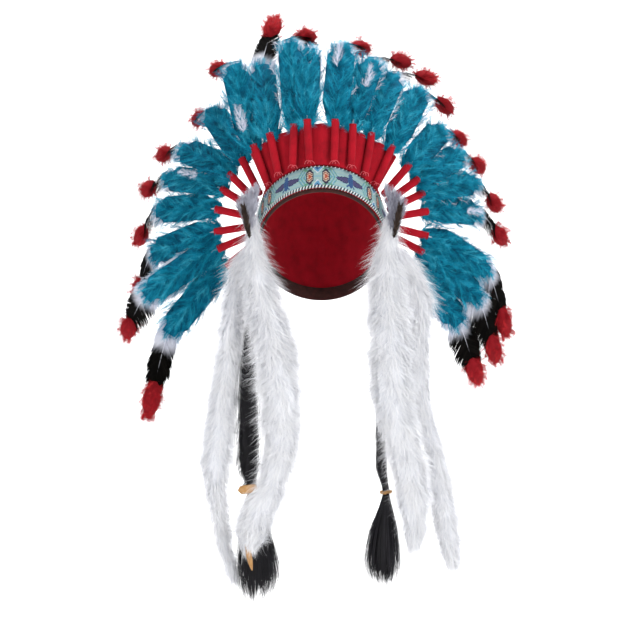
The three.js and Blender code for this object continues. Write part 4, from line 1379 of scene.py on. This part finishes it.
def addThongEnd(bundle, path, half):
    even = np.linspace(0, 1, len(path))
    fine = np.linspace(0, 1, 4 * len(path))
    path = np.stack([np.interp(fine, even, path[:, i]) for i in range(3)], axis=-1)
    ahead = unit(np.gradient(path, axis=0))
    across = unit(np.cross(ahead, [0.0, -1.0, 0.0]))
    outward = np.cross(across, ahead)
    taper = np.clip(1.15 - np.abs(2 * fine - 1) ** 4, 0.15, 1)
    rings = tubeRings(path, across * (half * taper)[:, None], thong["endThick"] * outward, mm, thong["sides"])
    addLoft(bundle, rings, 0.5)


def buildTie(sideName):
    low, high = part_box(f"tassel_tie_{sideName}")
    middle, radius = (low + high) / 2, (high.x - low.x) / 2
    facts = ties[sideName]
    bundle = newBundle(70)
    t = np.linspace(0, 1, 26 * facts["turns"])
    turn = 2 * math.pi * facts["turns"] * t
    fall = (0.5 - t) * (high.z - low.z - 2 * facts["half"] * mm)
    outward = np.stack([np.sin(turn), -np.cos(turn), 0 * turn], axis=-1)
    path = np.array(middle) + outward * (radius - thong["thick"] * mm) + fall[:, None] * [0, 0, 1]
    rings = tubeRings(path, thong["thick"] * outward, [0, 0, facts["half"]], mm, thong["sides"])
    addLoft(bundle, rings, 0.5)
    for end in facts["ends"]:
        addThongEnd(bundle, np.array(end["path"]) * mm, end["half"])
    piece = bundleToPiece(bundle, f"leather_tie_{sideName}", "leatherTan")
    fit(piece, f"leather_tie_{sideName}", "leather", f"tassel_tie_{sideName}")


for sideName in sides:
    buildTassel(sideName)
    buildTie(sideName)
print("tassels are tied")


# Temple tufts: small soft feathers in a fan, with one dark feather in front
tuft = {"root": -4, "from": 4, "to": 57, "roundFrom": 34, "base": 0.7, "widen": 16, "run": 22, "flat": 0.5,
        "wave": 0.8, "roll": 0.6, "barbs": 80, "half": 0.45, "barbules": 12, "barbule": 5.5, "fine": 0.15,
        "wide": 7.0, "ragged": 0.06, "spread": (15, 50)}
tuftPlace = {"across": 88, "depth": -50, "height": 22}
tuftFan = {"count": 6, "first": -10, "last": 22, "forward": -10, "stagger": 1.2, "shorter": 18}
tuftKnob = {"from": -4, "to": 6, "radius": 4.0, "spread": 40}
darkFeather = {"spread": 11, "length": 42, "half": 4.4, "ahead": 8, "drop": 12, "barbs": 26, "tone": 0.35,
               "bend": 0.06, "barbules": 8, "barbule": 4.0, "fine": 0.16, "taper": [0.6, 0.65, 0.5, 0.0]}


def directionOf(side, spread, lean):
    spread, lean = math.radians(spread), math.radians(lean)
    level = math.cos(lean)
    return np.array([side * math.sin(spread) * level, math.sin(lean), math.cos(spread) * level])


def addSmallFeather(bundle, root, way):
    random, facts = bundle["random"], darkFeather
    length, count = facts["length"], facts["barbs"]
    width = unit(np.cross(np.array([0.0, -1.0, 0.0]), way))
    stations = np.linspace(0, length, 8)
    bend = facts["bend"] * (stations / length) ** 2 * length
    face = unit(np.cross(width, way))
    middles = root + (stations[:, None] * way - bend[:, None] * face) * mm
    line = lineFrom(middles, stations, np.broadcast_to(width, (8, 3)))
    t = np.linspace(0, 1, len(facts["taper"]))
    for side in (-1, 1):
        roots = np.linspace(1, length * 0.93, count)
        share = roots / length
        reach = facts["half"] * np.clip(0.35 + 2.2 * share, 0, 1) * (1 - 0.5 * share**3)
        reach = reach * random.uniform(0.5, 1.3, count)
        angle = np.radians(46 - 20 * share)[:, None] * (1 - 0.45 * t[None])
        along, across = bendBarbs(roots, angle, reach, side)
        lift = random.normal(0, 0.3, (count, 1)) + random.normal(0, 0.9, (count, 1)) * t
        barbs = np.stack([along, across, lift], axis=-1)
        lie = np.broadcast_to(np.array([-math.sin(0.6), side * math.cos(0.6), 0.0]), barbs.shape) * side
        halves = np.broadcast_to(np.array(facts["taper"]), (count, len(t)))
        # lighter towards each barb's tip: painted light
        tone = np.clip(facts["tone"] + random.normal(0, 0.25, (count, 1)) + 0.2 * t[None], 0, 1)
        addLocalRibbons(bundle, line, barbs, lie, halves, tone, 0)
        addBarbules(bundle, line, barbs, facts["barbules"], facts["barbule"], facts["fine"], tone[:, 0], 0)
    radius = np.linspace(0.6, 0.15, 8)
    addLocalTube(bundle, line, stations, radius, radius, 0.0, 5, 0.7 * facts["tone"])


def buildTuft(sideName, side):
    root = np.array([side * tuftPlace["across"], tuftPlace["depth"], tuftPlace["height"]]) * mm
    bundle = newBundle(80 + side)
    for i in range(tuftFan["count"]):
        share = i / (tuftFan["count"] - 1)
        spread = tuftFan["first"] + (tuftFan["last"] - tuftFan["first"]) * share
        start = root + np.array([0, tuftFan["stagger"] * (1 if i % 2 else -1), 0]) * mm
        way = directionOf(side, spread, tuftFan["forward"])
        stations = np.linspace(0, tuft["to"], 5)
        width = np.broadcast_to(unit(np.cross([0.0, -1.0, 0.0], way)), (5, 3))
        line = lineFrom(start + stations[:, None] * way * mm, stations, width)
        form = dict(tuft, to=tuft["to"] - tuftFan["shorter"] * share)
        addDown(bundle, line, form, tuft["wide"], 0, bundle["random"].uniform(0.3, 0.6))
    # the knob that they are bound on
    stations = np.linspace(tuftKnob["from"], tuftKnob["to"], 7)
    radius = tuftKnob["radius"] * np.sqrt(np.clip(1 - ((stations - 1) / 5.2) ** 2, 0.02, 1))
    way = directionOf(side, tuftKnob["spread"], tuftFan["forward"])
    other = unit(np.cross(way, [0.0, 1.0, 0.0]))
    path = root + stations[:, None] * way * mm
    addLoft(bundle, tubeRings(path, other, np.cross(way, other), radius * mm, 8), 0.4)
    piece = bundleToPiece(bundle, f"soft_tuft_{sideName}", "tuftLilac")
    fit(piece, f"soft_tuft_{sideName}", "white_feather", f"temple_tuft_{sideName}")
    bundle = newBundle(90 + side)
    root = root - np.array([0, darkFeather["ahead"], darkFeather["drop"]]) * mm
    way = directionOf(side, darkFeather["spread"], tuftFan["forward"])
    addSmallFeather(bundle, root, way)
    piece = bundleToPiece(bundle, f"dark_feather_{sideName}", "featherBrown")
    fit(piece, f"dark_feather_{sideName}", "brown_feather", f"temple_feather_{sideName}")


for sideName, side in sides.items():
    buildTuft(sideName, side)
print("temple tufts are set")
